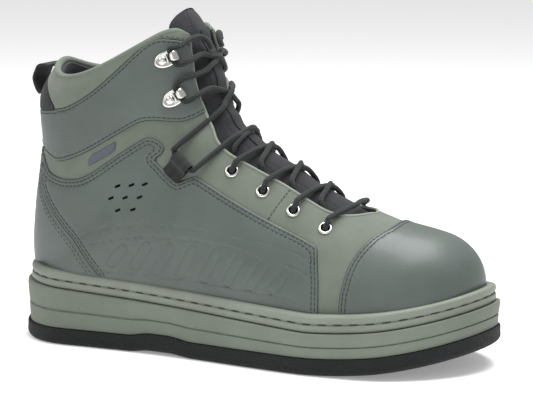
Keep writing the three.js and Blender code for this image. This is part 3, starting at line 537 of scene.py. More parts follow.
# The upper's form: rows up the sections and columns from the foot to the throat's edge
columns_per_side = 56
row_step, heel_step, shaft_step = 0.15, 0.075, 0.12


def form_rows():
    foot = np.arange(0, heel_section - 1, row_step)
    toe = [throat_section + 0.03, throat_section + 0.06, throat_section + 0.15]
    heel = np.arange(heel_section - 1, heel_section, heel_step)
    corner = [heel_section - 0.03, heel_section - 0.015]
    shaft = np.arange(heel_section, collar_section + 1e-6, shaft_step)
    return np.unique(np.round(np.concatenate([foot, toe, heel, corner, shaft, [collar_section]]), 4))


def eased_fold(grid, rows, share):
    """Rounds the fold where the fan of sections over the foot turns into the stack up the shaft."""
    near = smooth(1 - np.abs(rows - heel_section) / 1.6)
    weight = near[:, None] * smooth((share - 0.06) / 0.25)[None, :]
    for _ in range(72):
        middle = (grid[:-2] + grid[2:]) / 2 - grid[1:-1]
        grid[1:-1] += 0.6 * weight[1:-1, :, None] * middle
    return grid


def side_form(side):
    rows = form_rows()
    share = np.linspace(0, 1, columns_per_side + 1)
    first = start_angle(rows, side)
    gap = throat_half(rows)
    last = np.where(gap > 1e-9, angle_at(rows, side, gap), np.pi)
    angle = first[:, None] + (last - first)[:, None] * share[None, :]
    u = np.repeat(rows[:, None], len(share), axis=1)
    grid = eased_fold(face_point(u, angle, side), rows, share)
    index = np.arange(grid.shape[0] * grid.shape[1]).reshape(grid.shape[:2])
    a, b, c, d = index[:-1, :-1], index[:-1, 1:], index[1:, 1:], index[1:, :-1]
    tris = np.concatenate([np.stack([a, b, c], -1).reshape(-1, 3), np.stack([a, c, d], -1).reshape(-1, 3)])
    if side == MEDIAL:
        tris = tris[:, ::-1]
    return grid.reshape(-1, 3), tris, u.ravel(), np.tile(share, len(rows))


def upper_form():
    parts = [side_form(side) for side in (LATERAL, MEDIAL)]
    points = np.concatenate([part[0] for part in parts])
    tris = np.concatenate([parts[0][1], parts[1][1] + len(parts[0][0])])
    u = np.concatenate([part[2] for part in parts])
    t = np.concatenate([part[3] for part in parts])
    keys = np.round(points / (0.002 * MM)).astype(np.int64)
    kept, back = np.unique(keys, axis=0, return_index=True, return_inverse=True)[1:]
    tris = back.ravel()[tris]
    whole = (tris[:, 0] != tris[:, 1]) & (tris[:, 1] != tris[:, 2]) & (tris[:, 2] != tris[:, 0])
    points, tris = points[kept], tris[whole]
    return Skin(points, vertex_normals(points, tris), tris, {"u": u[kept], "t": t[kept]})


def solid_skin(name, skin, top, bottom, material, smooth_angle=40):
    """A closed piece between two heights over a skin, with its edge joined."""
    upper_side = skin.points + skin.normals * np.broadcast_to(top, len(skin.points))[:, None]
    under_side = skin.points + skin.normals * np.broadcast_to(bottom, len(skin.points))[:, None]
    count = len(skin.points)
    edges = np.concatenate([skin.tris[:, [0, 1]], skin.tris[:, [1, 2]], skin.tris[:, [2, 0]]])
    ordered = np.sort(edges, axis=1)
    _, where, times = np.unique(ordered, axis=0, return_index=True, return_counts=True)
    rim = edges[where[times == 1]]
    wall_one = np.stack([rim[:, 1], rim[:, 0], rim[:, 0] + count], axis=1)
    wall_two = np.stack([rim[:, 1], rim[:, 0] + count, rim[:, 1] + count], axis=1)
    tris = np.concatenate([skin.tris, skin.tris[:, ::-1] + count, wall_one, wall_two])
    return mesh_piece(name, np.concatenate([upper_side, under_side]), tris, material, smooth_angle)


def mesh_piece(name, points, faces, material, smooth_angle=40):
    mesh = bpy.data.meshes.new(name)
    rings = np.asarray(faces).tolist() if isinstance(faces, np.ndarray) else faces
    mesh.from_pydata(np.asarray(points).tolist(), [], rings)
    mesh.validate()
    piece = bpy.data.objects.new(name, mesh)
    bpy.context.scene.collection.objects.link(piece)
    mesh.materials.append(material)
    bpy.ops.object.select_all(action="DESELECT")
    piece.select_set(True)
    bpy.context.view_layer.objects.active = piece
    bpy.ops.object.shade_smooth_by_angle(angle=math.radians(smooth_angle))
    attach(piece, "root")
    return piece


def refined(skin, near):
    """Halves the edges of the marked triangles, and divides their neighbours to match."""
    marked = skin.tris[near]
    edges = np.concatenate([marked[:, [0, 1]], marked[:, [1, 2]], marked[:, [2, 0]]])
    edges = np.unique(np.sort(edges, axis=1), axis=0)
    first = len(skin.points)
    middle = {(int(e[0]), int(e[1])): first + i for i, e in enumerate(edges)}
    mean = lambda entry: (entry[edges[:, 0]] + entry[edges[:, 1]]) / 2
    normals = mean(skin.normals)
    normals /= np.linalg.norm(normals, axis=1, keepdims=True)
    touched = np.zeros(first, bool)
    touched[edges.ravel()] = True
    beside = touched[skin.tris].sum(axis=1) >= 2
    new = []
    for tri in skin.tris[beside]:
        a, b, c = (int(v) for v in tri)
        halves = [middle.get((min(p, q), max(p, q))) for p, q in ((a, b), (b, c), (c, a))]
        ab, bc, ca = halves
        cuts = [half for half in halves if half is not None]
        if len(cuts) == 3:
            new += [(a, ab, ca), (ab, b, bc), (ca, bc, c), (ab, bc, ca)]
        elif not cuts:
            new.append((a, b, c))
        else:
            ring = [v for v in (a, ab, b, bc, c, ca) if v is not None]
            start = ring.index(cuts[0])
            ring = ring[start:] + ring[:start]
            new += [(ring[0], ring[i], ring[i + 1]) for i in range(1, len(ring) - 1)]
    return Skin(np.concatenate([skin.points, mean(skin.points)]), np.concatenate([skin.normals, normals]),
                np.concatenate([skin.tris[~beside], np.array(new, int)]),
                {name: np.concatenate([entry, mean(entry)]) for name, entry in skin.values.items()})


def line_distance(points, line):
    """The distance of side-view points from an open line."""
    best = np.full(len(points), np.inf)
    for a, b in zip(line[:-1], line[1:]):
        step = b - a
        share = np.clip(((points - a) @ step) / max(step @ step, 1e-12), 0, 1)
        offset = points - (a + share[:, None] * step)
        best = np.minimum(best, (offset ** 2).sum(axis=1))
    return np.sqrt(best)


def near_centre(skin, centre, radius):
    middle = skin.points[skin.tris].mean(axis=1)
    return np.linalg.norm(middle - centre, axis=1) < radius


# Creases, each a soft trough or ridge along a side-view line: its shares, depth, half width and sides
crease_rows = [
    ([(0.715, 0.43), (0.742, 0.33), (0.75, 0.2)], -0.5, 5.0, (LATERAL, MEDIAL)),
    ([(0.69, 0.4), (0.724, 0.28), (0.732, 0.16)], 0.35, 4.5, (LATERAL, MEDIAL)),
    ([(0.65, 0.37), (0.69, 0.26), (0.7, 0.14)], -0.3, 6.0, (LATERAL, MEDIAL)),
    ([(0.02, 0.66), (0.1, 0.6), (0.2, 0.66), (0.3, 0.76), (0.42, 0.82)], -0.7, 7.0, (LATERAL, MEDIAL)),
    ([(0.24, 0.86), (0.33, 0.83), (0.43, 0.88)], 0.4, 6.0, (LATERAL,)),
    ([(0.18, 0.74), (0.27, 0.8), (0.38, 0.93)], -0.35, 7.0, (LATERAL, MEDIAL)),
    ([(0.3, 0.7), (0.36, 0.72), (0.42, 0.66)], -0.4, 5.0, (LATERAL, MEDIAL)),
    ([(0.44, 0.62), (0.52, 0.56), (0.6, 0.5)], -0.25, 5.0, (MEDIAL,)),
    ([(0.1, 0.9), (0.2, 0.96), (0.28, 1.06)], 0.4, 6.0, (LATERAL, MEDIAL)),
]


def creased(skin):
    """Moves the form along its normals by the creases, and finds the normals again."""
    flat = skin.points[:, [0, 2]]
    lift = np.zeros(len(flat))
    for rows, depth, half, on in crease_rows:
        distance = line_distance(flat, rounded_curve(rows))
        facing = smooth(np.abs(skin.normals[:, 1]) / 0.5)
        side = np.isin(np.sign(skin.normals[:, 1]), on)
        lift += depth * MM * np.exp(-(distance / (half * MM)) ** 2) * facing * side
    points = skin.points + skin.normals * lift[:, None]
    return Skin(points, vertex_normals(points, skin.tris), skin.tris, skin.values)


# Side-view seams, as shares of the foot's length and of the shaft's height
behind, beyond, overhead, under = -0.06, 1.06, 1.5, -0.1
toe_cap_seam = [
    (0.832, 0.52), (0.828, 0.42), (0.816, 0.397), (0.802, 0.375), (0.784, 0.325),
    (0.772, 0.26), (0.766, 0.19), (0.763, 0.13), (0.762, under),
]
counter_seam = [
    (0.037, 0.606), (0.04, 0.53), (0.047, 0.462), (0.063, 0.4), (0.087, 0.338), (0.116, 0.278),
    (0.153, 0.204), (0.2, 0.08), (0.25, under),
]
quarter_seam = [
    (0.058, 0.545), (0.078, 0.511), (0.121, 0.5), (0.173, 0.528), (0.254, 0.65), (0.306, 0.726),
    (0.322, 0.731), (0.342, 0.713), (0.349, 0.69), (0.345, 0.668), (0.331, 0.645), (0.332, 0.632),
    (0.378, 0.558), (0.39, 0.556), (0.418, 0.583), (0.432, 0.578), (0.51, 0.505), (0.586, 0.442),
    (0.694, 0.36), (0.703, 0.345), (0.71, 0.27), (0.717, 0.17), (0.72, under),
]
shaft_seam = [
    (behind, 0.628), (0.03, 0.628), (0.052, 0.6), (0.078, 0.58), (0.106, 0.577), (0.174, 0.638), (0.285, 0.787),
    (0.303, 0.804), (0.325, 0.812), (0.375, 0.813), (0.4, 0.83), (0.44, 0.868), (0.56, 0.868),
]
collar_seam = [
    (behind, 0.812), (0.077, 0.812), (0.128, 0.83), (0.192, 0.914), (0.248, 1.02), (0.3, 1.132),
    (0.318, 1.16), (0.334, 1.17), (0.355, 1.168), (0.42, 1.155), (0.56, 1.155),
]
patch_seam = [
    (behind, 0.97), (0.03, 0.97), (0.05, 0.91), (0.094, 0.815), (0.08, 0.8), (0.055, 0.79), (0.038, 0.785),
    (behind, 0.785),
]


def loop(*parts):
    return np.concatenate(parts)


toe_cap_outline = loop(rounded_curve(toe_cap_seam), corners((beyond, under), (beyond, 0.52)))
counter_outline = loop(rounded_curve(counter_seam), corners((behind, under), (behind, 0.606)))
quarter_outline = loop(rounded_curve(quarter_seam), rounded_curve(counter_seam)[::-1])
shaft_outline = loop(rounded_curve(shaft_seam), rounded_curve(collar_seam)[::-1])
collar_outline = loop(rounded_curve(collar_seam), corners((0.56, overhead), (behind, overhead)))
patch_outline = rounded_curve(patch_seam)

# Heights and stitch rows of a panel's edge
edge_round = 0.9 * MM
row_inset = 1.9 * MM
stitch_pitch, stitch_length, stitch_radius = 3.1 * MM, 2.4 * MM, 0.42 * MM
row_apart = 2.2 * MM
groove_half = 0.5 * MM
groove_depth = 0.25 * MM


def panel_height(distance, rows, thickness):
    """The height over the base at a distance from a panel's edge: a round lip, then stitched grooves."""
    lip = np.sqrt(np.maximum(0, 1 - (1 - np.clip(distance / edge_round, 0, 1)) ** 2))
    height = thickness * (0.1 + 0.9 * lip)
    for row in range(rows):
        off = np.abs(distance - row_inset - row * row_apart) / groove_half
        height = height - groove_depth * smooth(1 - off)
    return height


def edge_levels(rows):
    levels = [0.18 * edge_round, 0.5 * edge_round, edge_round]
    for row in range(rows):
        middle = row_inset + row * row_apart
        levels += [middle - groove_half, middle, middle + groove_half]
    return levels


def panel(name, base, distance, rows, material, thickness=overlay, extra=None):
    """A sewn-on panel: the base skin inside the distance, raised, with a stitched edge."""
    base = Skin(base.points, base.normals, base.tris, {**base.values, "edge": distance})
    skin = split(base, distance, 0.0, keep_low=False)
    for level in edge_levels(rows):
        skin = split(skin, skin.values["edge"], level)
    height = panel_height(skin.values["edge"], rows, thickness)
    if extra is not None:
        height = height + extra(skin)
    piece = solid_skin(name, skin, height, -0.4 * MM, material)
    return piece, skin


def contour(skin, value, level):
    """Chains of points and normals along value = level."""
    links, places = {}, {}
    low = value[skin.tris] < level
    mixed = skin.tris[low.any(axis=1) & ~low.all(axis=1)]
    for tri in mixed:
        ends = []
        for i in range(3):
            p, q = sorted((int(tri[i]), int(tri[(i + 1) % 3])))
            if (value[p] < level) != (value[q] < level):
                share = (level - value[p]) / (value[q] - value[p])
                places[(p, q)] = (skin.points[p] + share * (skin.points[q] - skin.points[p]),
                                  skin.normals[p] + share * (skin.normals[q] - skin.normals[p]))
                ends.append((p, q))
        if len(ends) == 2:
            links.setdefault(ends[0], []).append(ends[1])
            links.setdefault(ends[1], []).append(ends[0])
    chains, seen = [], set()
    starts = [key for key, others in links.items() if len(others) == 1] + list(links)
    for start in starts:
        if start in seen:
            continue
        chain, here = [], start
        while here is not None and here not in seen:
            seen.add(here)
            chain.append(here)
            here = next((other for other in links[here] if other not in seen), None)
        if len(chain) > 3:
            chains.append(tuple(np.array([places[key][k] for key in chain]) for k in (0, 1)))
    return chains


def spaced(chain, pitch):
    """Places every pitch along a chain: point, normal and direction."""
    points, normals = chain
    steps = np.linalg.norm(np.diff(points, axis=0), axis=1)
    length = np.concatenate([[0], np.cumsum(steps)])
    count = max(2, int(length[-1] / pitch))
    at = (np.arange(count) + 0.5) * length[-1] / count
    spots = np.stack([np.interp(at, length, points[:, k]) for k in range(3)], axis=1)
    after = np.stack([np.interp(at + 0.2 * MM, length, points[:, k]) for k in range(3)], axis=1)
    before = np.stack([np.interp(at - 0.2 * MM, length, points[:, k]) for k in range(3)], axis=1)
    outward = np.stack([np.interp(at, length, normals[:, k]) for k in range(3)], axis=1)
    outward /= np.linalg.norm(outward, axis=1, keepdims=True)
    direction = after - before
    direction /= np.maximum(np.linalg.norm(direction, axis=1, keepdims=True), 1e-12)
    return spots, outward, direction


stitch_sides, stitch_rings = 5, ((-0.5, 0.15), (-0.36, 0.8), (0.0, 1.0), (0.36, 0.8), (0.5, 0.15))


def stitches(name, chains, pitch, length, radius, material, lift=0.0):
    """Short dashes of thread, a rounded grain each, along chains of points."""
    points, faces = [], []
    for chain in chains:
        spots, outward, direction = spaced(chain, pitch)
        across = np.cross(outward, direction)
        for spot, up, ahead, side in zip(spots, outward, direction, across):
            first = len(points)
            for share, wide in stitch_rings:
                for k in range(stitch_sides):
                    turn = 2 * math.pi * k / stitch_sides
                    off = radius * wide * (math.cos(turn) * side + math.sin(turn) * up)
                    points.append(spot + ahead * share * length + up * lift + off)
            for ring in range(len(stitch_rings) - 1):
                for k in range(stitch_sides):
                    a = first + ring * stitch_sides + k
                    b = first + ring * stitch_sides + (k + 1) % stitch_sides
                    faces.append((a, a + stitch_sides, b + stitch_sides, b))
            faces.append(tuple(first + k for k in range(stitch_sides)))
            last = first + (len(stitch_rings) - 1) * stitch_sides
            faces.append(tuple(last + k for k in reversed(range(stitch_sides))))
    return mesh_piece(name, points, faces, material, 80)


def tube(name, path, radius, sides, material, closed=False):
    """A round cord of mesh along a path, its ends closed."""
    path = np.asarray(path)
    count = len(path)
    ahead = np.roll(path, -1, axis=0) - np.roll(path, 1, axis=0)
    if not closed:
        ahead[0], ahead[-1] = path[1] - path[0], path[-1] - path[-2]
    ahead /= np.linalg.norm(ahead, axis=1, keepdims=True)
    frame_up = np.cross(ahead[0], [0.3, 0.9, 0.1])
    frame_up /= np.linalg.norm(frame_up)
    points = []
    for i in range(count):
        frame_up = frame_up - ahead[i] * (frame_up @ ahead[i])
        frame_up /= np.linalg.norm(frame_up)
        other = np.cross(ahead[i], frame_up)
        wide = radius if np.isscalar(radius) else radius[i]
        for k in range(sides):
            turn = 2 * math.pi * k / sides
            points.append(path[i] + wide * (math.cos(turn) * frame_up + math.sin(turn) * other))
    faces = []
    for i in range(count if closed else count - 1):
        for k in range(sides):
            a, b = i * sides + k, i * sides + (k + 1) % sides
            c, d = (a + sides) % (count * sides), (b + sides) % (count * sides)
            faces.append((a, b, d, c))
    if not closed:
        faces.append(tuple(reversed(range(sides))))
        faces.append(tuple((count - 1) * sides + k for k in range(sides)))
    piece = mesh_piece(name, points, faces, material, 60)
    ring_uv(piece, np.concatenate([[0], np.cumsum(np.linalg.norm(np.diff(path, axis=0), axis=1))]), sides)
    return piece


def ring_uv(piece, length, sides):
    """Texture places on a tube: millimetres along it, and the share round it."""
    layer = piece.data.uv_layers.new(name="along_round")
    rows = len(length)
    for face in piece.data.polygons:
        rings = [v // sides for v in face.vertices]
        wraps = {v % sides for v in face.vertices} == {0, sides - 1} and len(face.vertices) == 4
        closes = {0, rows - 1} <= set(rings) and len(face.vertices) == 4 and rows > 2
        for corner, v in zip(face.loop_indices, face.vertices):
            row, k = divmod(v, sides)
            round_share = 1.0 if wraps and k == 0 else k / sides
            reach = length[-1] + length[1] if closes and row == 0 else length[row]
            layer.data[corner].uv = (reach / MM, round_share)


def eased(path, steps):
    """A smooth path through points, with steps between each two."""
    path = np.asarray(path, float)
    ends = np.concatenate([2 * path[:1] - path[1:2], path, 2 * path[-1:] - path[-2:-1]])
    out = []
    for i in range(1, len(ends) - 2):
        p0, p1, p2, p3 = ends[i - 1:i + 3]
        for k in range(steps):
            t = k / steps
            out.append(0.5 * (2 * p1 + (p2 - p0) * t + (2 * p0 - 5 * p1 + 4 * p2 - p3) * t * t
                              + (3 * p1 - p0 - 3 * p2 + p3) * t ** 3))
    out.append(path[-1])
    return np.array(out)


# The sole's three layers
sole_steps = 220


def sole_layer(name, rings, material, node, smooth_angle=40):
    """A closed layer through rings of the sole's outline: pairs of an inset and a height, lowest first."""
    points = []
    for inset, height in rings:
        turn = np.linspace(0, 2 * np.pi, 2 * sole_steps, endpoint=False)
        side = np.where(turn <= np.pi, LATERAL, MEDIAL)
        x = heel_end + inset + (outsole_length - 2 * inset) * (1 - np.cos(turn)) / 2
        x = np.clip(x, heel_end + inset, toe_end - inset)
        y = centre_line(x) + side * half_width(side, x, inset, inset, inset)
        points.append(np.stack([x, y, height(x)], axis=1))
    count = 2 * sole_steps
    faces = []
    for ring in range(len(rings) - 1):
        for k in range(count):
            a, b = ring * count + k, ring * count + (k + 1) % count
            faces.append((a, b, b + count, a + count))
    for ring, flip in ((0, True), (len(rings) - 1, False)):
        first = ring * count
        for k in range(sole_steps):
            a, b = first + k, first + (k + 1) % count
            c, d = first + (count - k - 1) % count, first + (count - k) % count
            face = [a, b, c, d] if not flip else [d, c, b, a]
            face = list(dict.fromkeys(face))
            if len(face) > 2:
                faces.append(tuple(face))
    piece = mesh_piece(name, np.concatenate(points), faces, material, smooth_angle)
    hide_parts(node)
    return piece


def felt_rings():
    """The felt slab: a rolled lower edge, worn a little soft, and an upright side."""
    rings = [(felt_bevel + 4 * MM, lambda x: ground_line(x))]
    for k in range(7):
        turn = k / 6 * math.pi / 2
        inset = felt_bevel * (1 - math.sin(turn))
        rings.append((inset, lambda x, turn=turn: ground_line(x) + 0.35 * felt_thickness * (1 - math.cos(turn))))
    for share in (0.55, 0.75, 0.9):
        rings.append((0.15 * MM, lambda x, share=share: ground_line(x) + share * (felt_top(x) - ground_line(x))))
    rings.append((0.5 * MM, lambda x: felt_top(x)))
    return rings


def midsole_rings():
    foot = lambda x: felt_top(x) + fit_gap
    at = lambda share: lambda x: foot(x) + share * (midsole_top(x) - foot(x))
    edge = felt_flare
    return [
        (edge + 2.2 * midsole_tuck, at(0)), (edge + 1.2 * midsole_tuck, at(0.02)), (edge + midsole_tuck, at(0.06)),
        (edge + 0.75 * midsole_tuck, at(0.3)), (edge + 0.7 * midsole_tuck, at(0.4)),
        (edge + 0.8 * midsole_tuck, at(0.43)), (edge + 0.7 * midsole_tuck + midsole_groove, at(0.455)),
        (edge + 0.7 * midsole_tuck + midsole_groove, at(0.475)), (edge + 0.6 * midsole_tuck, at(0.5)),
        (edge + 0.5 * midsole_tuck, at(0.54)), (edge, at(0.86)), (edge + 0.05 * MM, at(0.93)),
        (edge + 0.3 * MM, at(0.975)), (edge + 0.9 * MM, at(0.997)), (edge + 2 * MM, at(1.0)),
    ]


def welt_rings():
    at = lambda share: lambda x: midsole_top(x) + fit_gap + share * welt_height
    edge = felt_flare + welt_ledge
    upper_band = [(0.47, stitch_groove), (0.5, 0.75 * MM), (0.56, 0.3 * MM), (0.66, 0.05 * MM), (0.76, 0.1 * MM),
                  (0.86, 0.55 * MM), (0.94, 1.4 * MM), (0.985, 2.4 * MM), (1.0, 3.6 * MM), (0.99, 5.6 * MM),
                  (0.9, 6.6 * MM)]
    lower_band = [(0.0, 1.6 * MM), (0.01, 0.7 * MM), (0.05, 0.2 * MM), (0.12, 0.0), (0.3, 0.0), (0.37, 0.15 * MM),
                  (0.41, 0.5 * MM), (0.43, stitch_groove)]
    return [(edge + inset, at(share)) for share, inset in lower_band + upper_band]


sole_layer("felt_sole", felt_rings(), felt, "outsole_felt")
sole_layer("midsole_foam", midsole_rings(), foam, "midsole")
sole_layer("welt_band", welt_rings(), welt_rubber, "welt", 50)


def welt_chain(inset, share):
    turn = np.linspace(0, 2 * np.pi, 2 * sole_steps + 1)
    side = np.where(turn <= np.pi, LATERAL, MEDIAL)
    x = heel_end + inset + (outsole_length - 2 * inset) * (1 - np.cos(turn)) / 2
    x = np.clip(x, heel_end + inset, toe_end - inset)
    y = centre_line(x) + side * half_width(side, x, inset, inset, inset)
    z = midsole_top(x) + fit_gap + share * welt_height
    points = np.stack([x, y, z], axis=1)
    ahead = np.gradient(points, axis=0)
    outward = np.stack([ahead[:, 1], -ahead[:, 0], np.zeros(len(x))], axis=1)
    return points, outward / np.maximum(np.linalg.norm(outward, axis=1, keepdims=True), 1e-12)


welt_pitch, welt_stitch = 10 * MM, 5.6 * MM
stitches("welt_stitches", [welt_chain(felt_flare + welt_ledge + stitch_groove, 0.45)],
         welt_pitch, welt_stitch, 0.75 * MM, dark_thread_and_edge_shadow, 0.1 * MM)

# Insole
insole_inset = (heel_margin + wall + 2 * MM, side_margin + wall + 2 * MM, toe_margin + wall + 2 * MM)


def insole():
    count = 120
    turn = np.linspace(0, 2 * np.pi, 2 * count, endpoint=False)
    side = np.where(turn <= np.pi, LATERAL, MEDIAL)
    points = []
    for inset, rise in ((0.0, 0.05 * MM), (0.0, 0.7 * insole_thickness), (1.5 * MM, insole_thickness)):
        low, high = heel_end + insole_inset[0] + inset, toe_end - insole_inset[2] - inset
        x = np.clip(low + (high - low) * (1 - np.cos(turn)) / 2, low, high)
        y = centre_line(x) + side * half_width(side, x, *(part + inset for part in insole_inset))
        points.append(np.stack([x, y, footbed(x) + rise], axis=1))
    faces = []
    for ring in range(2):
        for k in range(2 * count):
            a, b = ring * 2 * count + k, ring * 2 * count + (k + 1) % (2 * count)
            faces.append((a, b, b + 2 * count, a + 2 * count))
    for first, flip in ((0, True), (4 * count, False)):
        for k in range(count):
            face = [first + k, first + (k + 1) % (2 * count), first + (2 * count - k - 1) % (2 * count),
                    first + (2 * count - k) % (2 * count)]
            face = list(dict.fromkeys(face[::-1] if flip else face))
            if len(face) > 2:
                faces.append(tuple(face))
    piece = mesh_piece("insole_pad", np.concatenate(points), faces, lining_cloth)
    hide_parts("insole")


insole()

# Places on the outer face: a point with its normal and its directions to the throat and up the boot
form = creased(upper_form())
form_tree = BVHTree.FromPolygons(form.points.tolist(), form.tris.tolist())


class Place:
    def __init__(self, share, up, side):
        x = float(foot_x(share))
        z = float(footbed(x) + shaft_height * up)
        point, normal, index, _ = form_tree.ray_cast(Vector((x, side * 0.3, z)), Vector((0, -side, 0)))
        a, b, c = form.tris[index]
        edges = np.stack([form.points[b] - form.points[a], form.points[c] - form.points[a], np.array(normal)])
        rise_u = [form.values["u"][b] - form.values["u"][a], form.values["u"][c] - form.values["u"][a], 0]
        rise_t = [form.values["t"][b] - form.values["t"][a], form.values["t"][c] - form.values["t"][a], 0]
        slope_u, slope_t = np.linalg.solve(edges, rise_u), np.linalg.solve(edges, rise_t)
        self.point, self.side = np.array(point), side
        self.normal = sum(form.normals[v] for v in (a, b, c))
        self.normal /= np.linalg.norm(self.normal)
        ahead = np.cross(self.normal, slope_u)
        ahead *= np.sign(ahead @ slope_t)
        ahead -= self.normal * (ahead @ self.normal)
        self.throatward = ahead / np.linalg.norm(ahead)
        self.upward = -side * np.cross(self.normal, self.throatward)
        self.u = float(form.values["u"][[a, b, c]].mean())

    def at(self, ahead=0.0, up=0.0, out=0.0):
        """A point beside the place, in millimetres towards the throat, up the boot and off its face."""
        return self.point + MM * (ahead * self.throatward + up * self.upward + out * self.normal)

    def matrix(self, out=0.0):
        third = np.cross(self.normal, self.throatward)
        place = self.point + MM * out * self.normal
        rows = [[self.throatward[i], third[i], self.normal[i], place[i]] for i in range(3)]
        return Matrix(rows + [[0, 0, 0, 1]])


eyelet_spots = [(0.496, 0.623), (0.567, 0.553), (0.636, 0.486), (0.707, 0.425)]
loop_spot = (0.379, 0.597)
hook_spots = {"low": (0.363, 0.915), "high": (0.346, 1.082)}
sides = {"lateral": LATERAL, "medial": MEDIAL}
eyelets = {side: [Place(*spot, side) for spot in eyelet_spots] for side in sides.values()}
lace_loops = {side: Place(*loop_spot, side) for side in sides.values()}
hooks = {side: {name: Place(*spot, side) for name, spot in hook_spots.items()} for side in sides.values()}

# Holes for the eyelets, and the slanted drainage slots in three rows
eyelet_hole = 3.1 * MM
slot_half, slot_round, slot_turn = 1.3 * MM, 0.85 * MM, math.radians(24)
slot_spots = [
    (0.251, 0.505), (0.283, 0.517), (0.314, 0.528), (0.236, 0.447), (0.27, 0.458), (0.304, 0.469), (0.254, 0.398),
    (0.29, 0.412),
]

# The collar's front corner, rounded off from its peak down to the throat
collar_front = [(0.1, 1.5), (0.25, 1.3), (0.31, 1.226), (0.345, 1.21), (0.372, 1.196), (0.392, 1.168), (0.404, 1.13),
                (0.43, 1.06), (0.6, 0.95)]
round_the_boot = corners((1.3, 0.9), (1.3, -0.4), (-0.3, -0.4), (-0.3, 1.5))
kept_outline = np.concatenate([rounded_curve(collar_front), round_the_boot])
corner_section, corner_share = 17.6, 0.7
face_u = form.values["u"][form.tris].mean(axis=1)
face_t = form.values["t"][form.tris].mean(axis=1)
near_corner = (face_u > corner_section) & (face_t > corner_share)
form = refined(form, near_corner)
form.values["kept"] = outline_distance(form, kept_outline)
form = split(form, form.values["kept"], 0.0, keep_low=False)

for side in sides.values():
    for place in eyelets[side]:
        for reach in (7 * MM, 5 * MM):
            form = refined(form, near_centre(form, place.point, reach))
        beyond = np.linalg.norm(form.points - place.point, axis=1) - eyelet_hole
        form = split(form, beyond, 0.0, keep_low=False, snap=0)
    for spot in slot_spots:
        place = Place(*spot, side)
        for reach in (6 * MM, 4.5 * MM, 3.5 * MM):
            form = refined(form, near_centre(form, place.point, reach))
        offset = form.points - place.point
        lengthwise = offset[:, 0] * math.cos(slot_turn) + offset[:, 2] * math.sin(slot_turn)
        across = offset[:, 2] * math.cos(slot_turn) - offset[:, 0] * math.sin(slot_turn)
        inside = np.hypot(np.maximum(np.abs(lengthwise) - slot_half, 0), across) - slot_round
        far = np.linalg.norm(offset, axis=1) > 12 * MM
        form = split(form, np.where(far, 12 * MM, inside), 0.0, keep_low=False, snap=0)

# Raised field of the quarter: two arched lines, a foot line, and plain slanted ribs between them
arch_lines = {
    "outer": [(0.168, 0.262), (0.193, 0.287), (0.25, 0.325), (0.321, 0.349), (0.38, 0.358), (0.444, 0.359),
              (0.52, 0.356), (0.582, 0.347), (0.65, 0.322), (0.703, 0.29)],
    "inner": [(0.195, 0.232), (0.26, 0.275), (0.322, 0.297), (0.4, 0.309), (0.483, 0.309), (0.56, 0.297),
              (0.622, 0.277), (0.668, 0.252), (0.7, 0.225)],
    "foot": [(0.205, 0.102), (0.3, 0.118), (0.4, 0.126), (0.47, 0.129), (0.56, 0.13), (0.64, 0.129), (0.672, 0.128)],
}
rib_places = [0.25, 0.305, 0.36, 0.415, 0.47, 0.525, 0.58, 0.63]
rib_lines = [[(share - 0.016, 0.152), (share + 0.016, top)] for share, top in zip(
    rib_places, (0.232, 0.256, 0.27, 0.276, 0.276, 0.27, 0.258, 0.24))]
line_half = 0.9 * MM
rib_half = 3.2 * MM


def relief(skin):
    """Pressed lines a little below the face, and ribs whose outlines are pressed in the same way."""
    flat = skin.points[:, [0, 2]]
    depth = np.zeros(len(flat))
    for name, rows in arch_lines.items():
        off = line_distance(flat, rounded_curve(rows)) / line_half
        depth += 0.4 * smooth(1 - off) + (0.18 * smooth(1 - np.abs(off - 1.6)) if name == "outer" else 0)
    for rows in rib_lines:
        off = np.abs(line_distance(flat, corners(*rows)) - rib_half) / (0.8 * line_half)
        depth += 0.34 * smooth(1 - off)
    return -depth * MM


def relief_levels(skin):
    """Lines along which the quarter's skin is divided so that the pressed lines are crisp."""
    for rows in arch_lines.values():
        for level in (line_half, 0.35 * line_half):
            skin = split(skin, line_distance(skin.points[:, [0, 2]], rounded_curve(rows)), level)
    for rows in rib_lines:
        for level in (rib_half - 0.8 * line_half, rib_half, rib_half + 0.8 * line_half):
            skin = split(skin, line_distance(skin.points[:, [0, 2]], corners(*rows)), level)
    return skin


def open_loops(skin):
    """The skin's open edges as closed loops of vertex numbers."""
    directed = np.concatenate([skin.tris[:, [0, 1]], skin.tris[:, [1, 2]], skin.tris[:, [2, 0]]])
    there = {(int(a), int(b)) for a, b in directed}
    follow = {a: b for a, b in there if (b, a) not in there}
    loops = []
    while follow:
        start, here = next(iter(follow.items()))
        ring = [start]
        while here in follow and here != start:
            ring.append(here)
            here = follow.pop(here)
        follow.pop(start, None)
        loops.append(np.array(ring))
    return loops


# Upper: the base skin, then the panels over it
mouth = max(open_loops(form), key=lambda ring: form.points[ring, 2].max())
base_bottom = 0.5 * wall
vamp = solid_skin("nubuck_base", form, 0.0, -base_bottom, nubuck)
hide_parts("upper")
solid_skin("lining", form, -base_bottom - 0.02 * MM, -wall, lining_cloth)

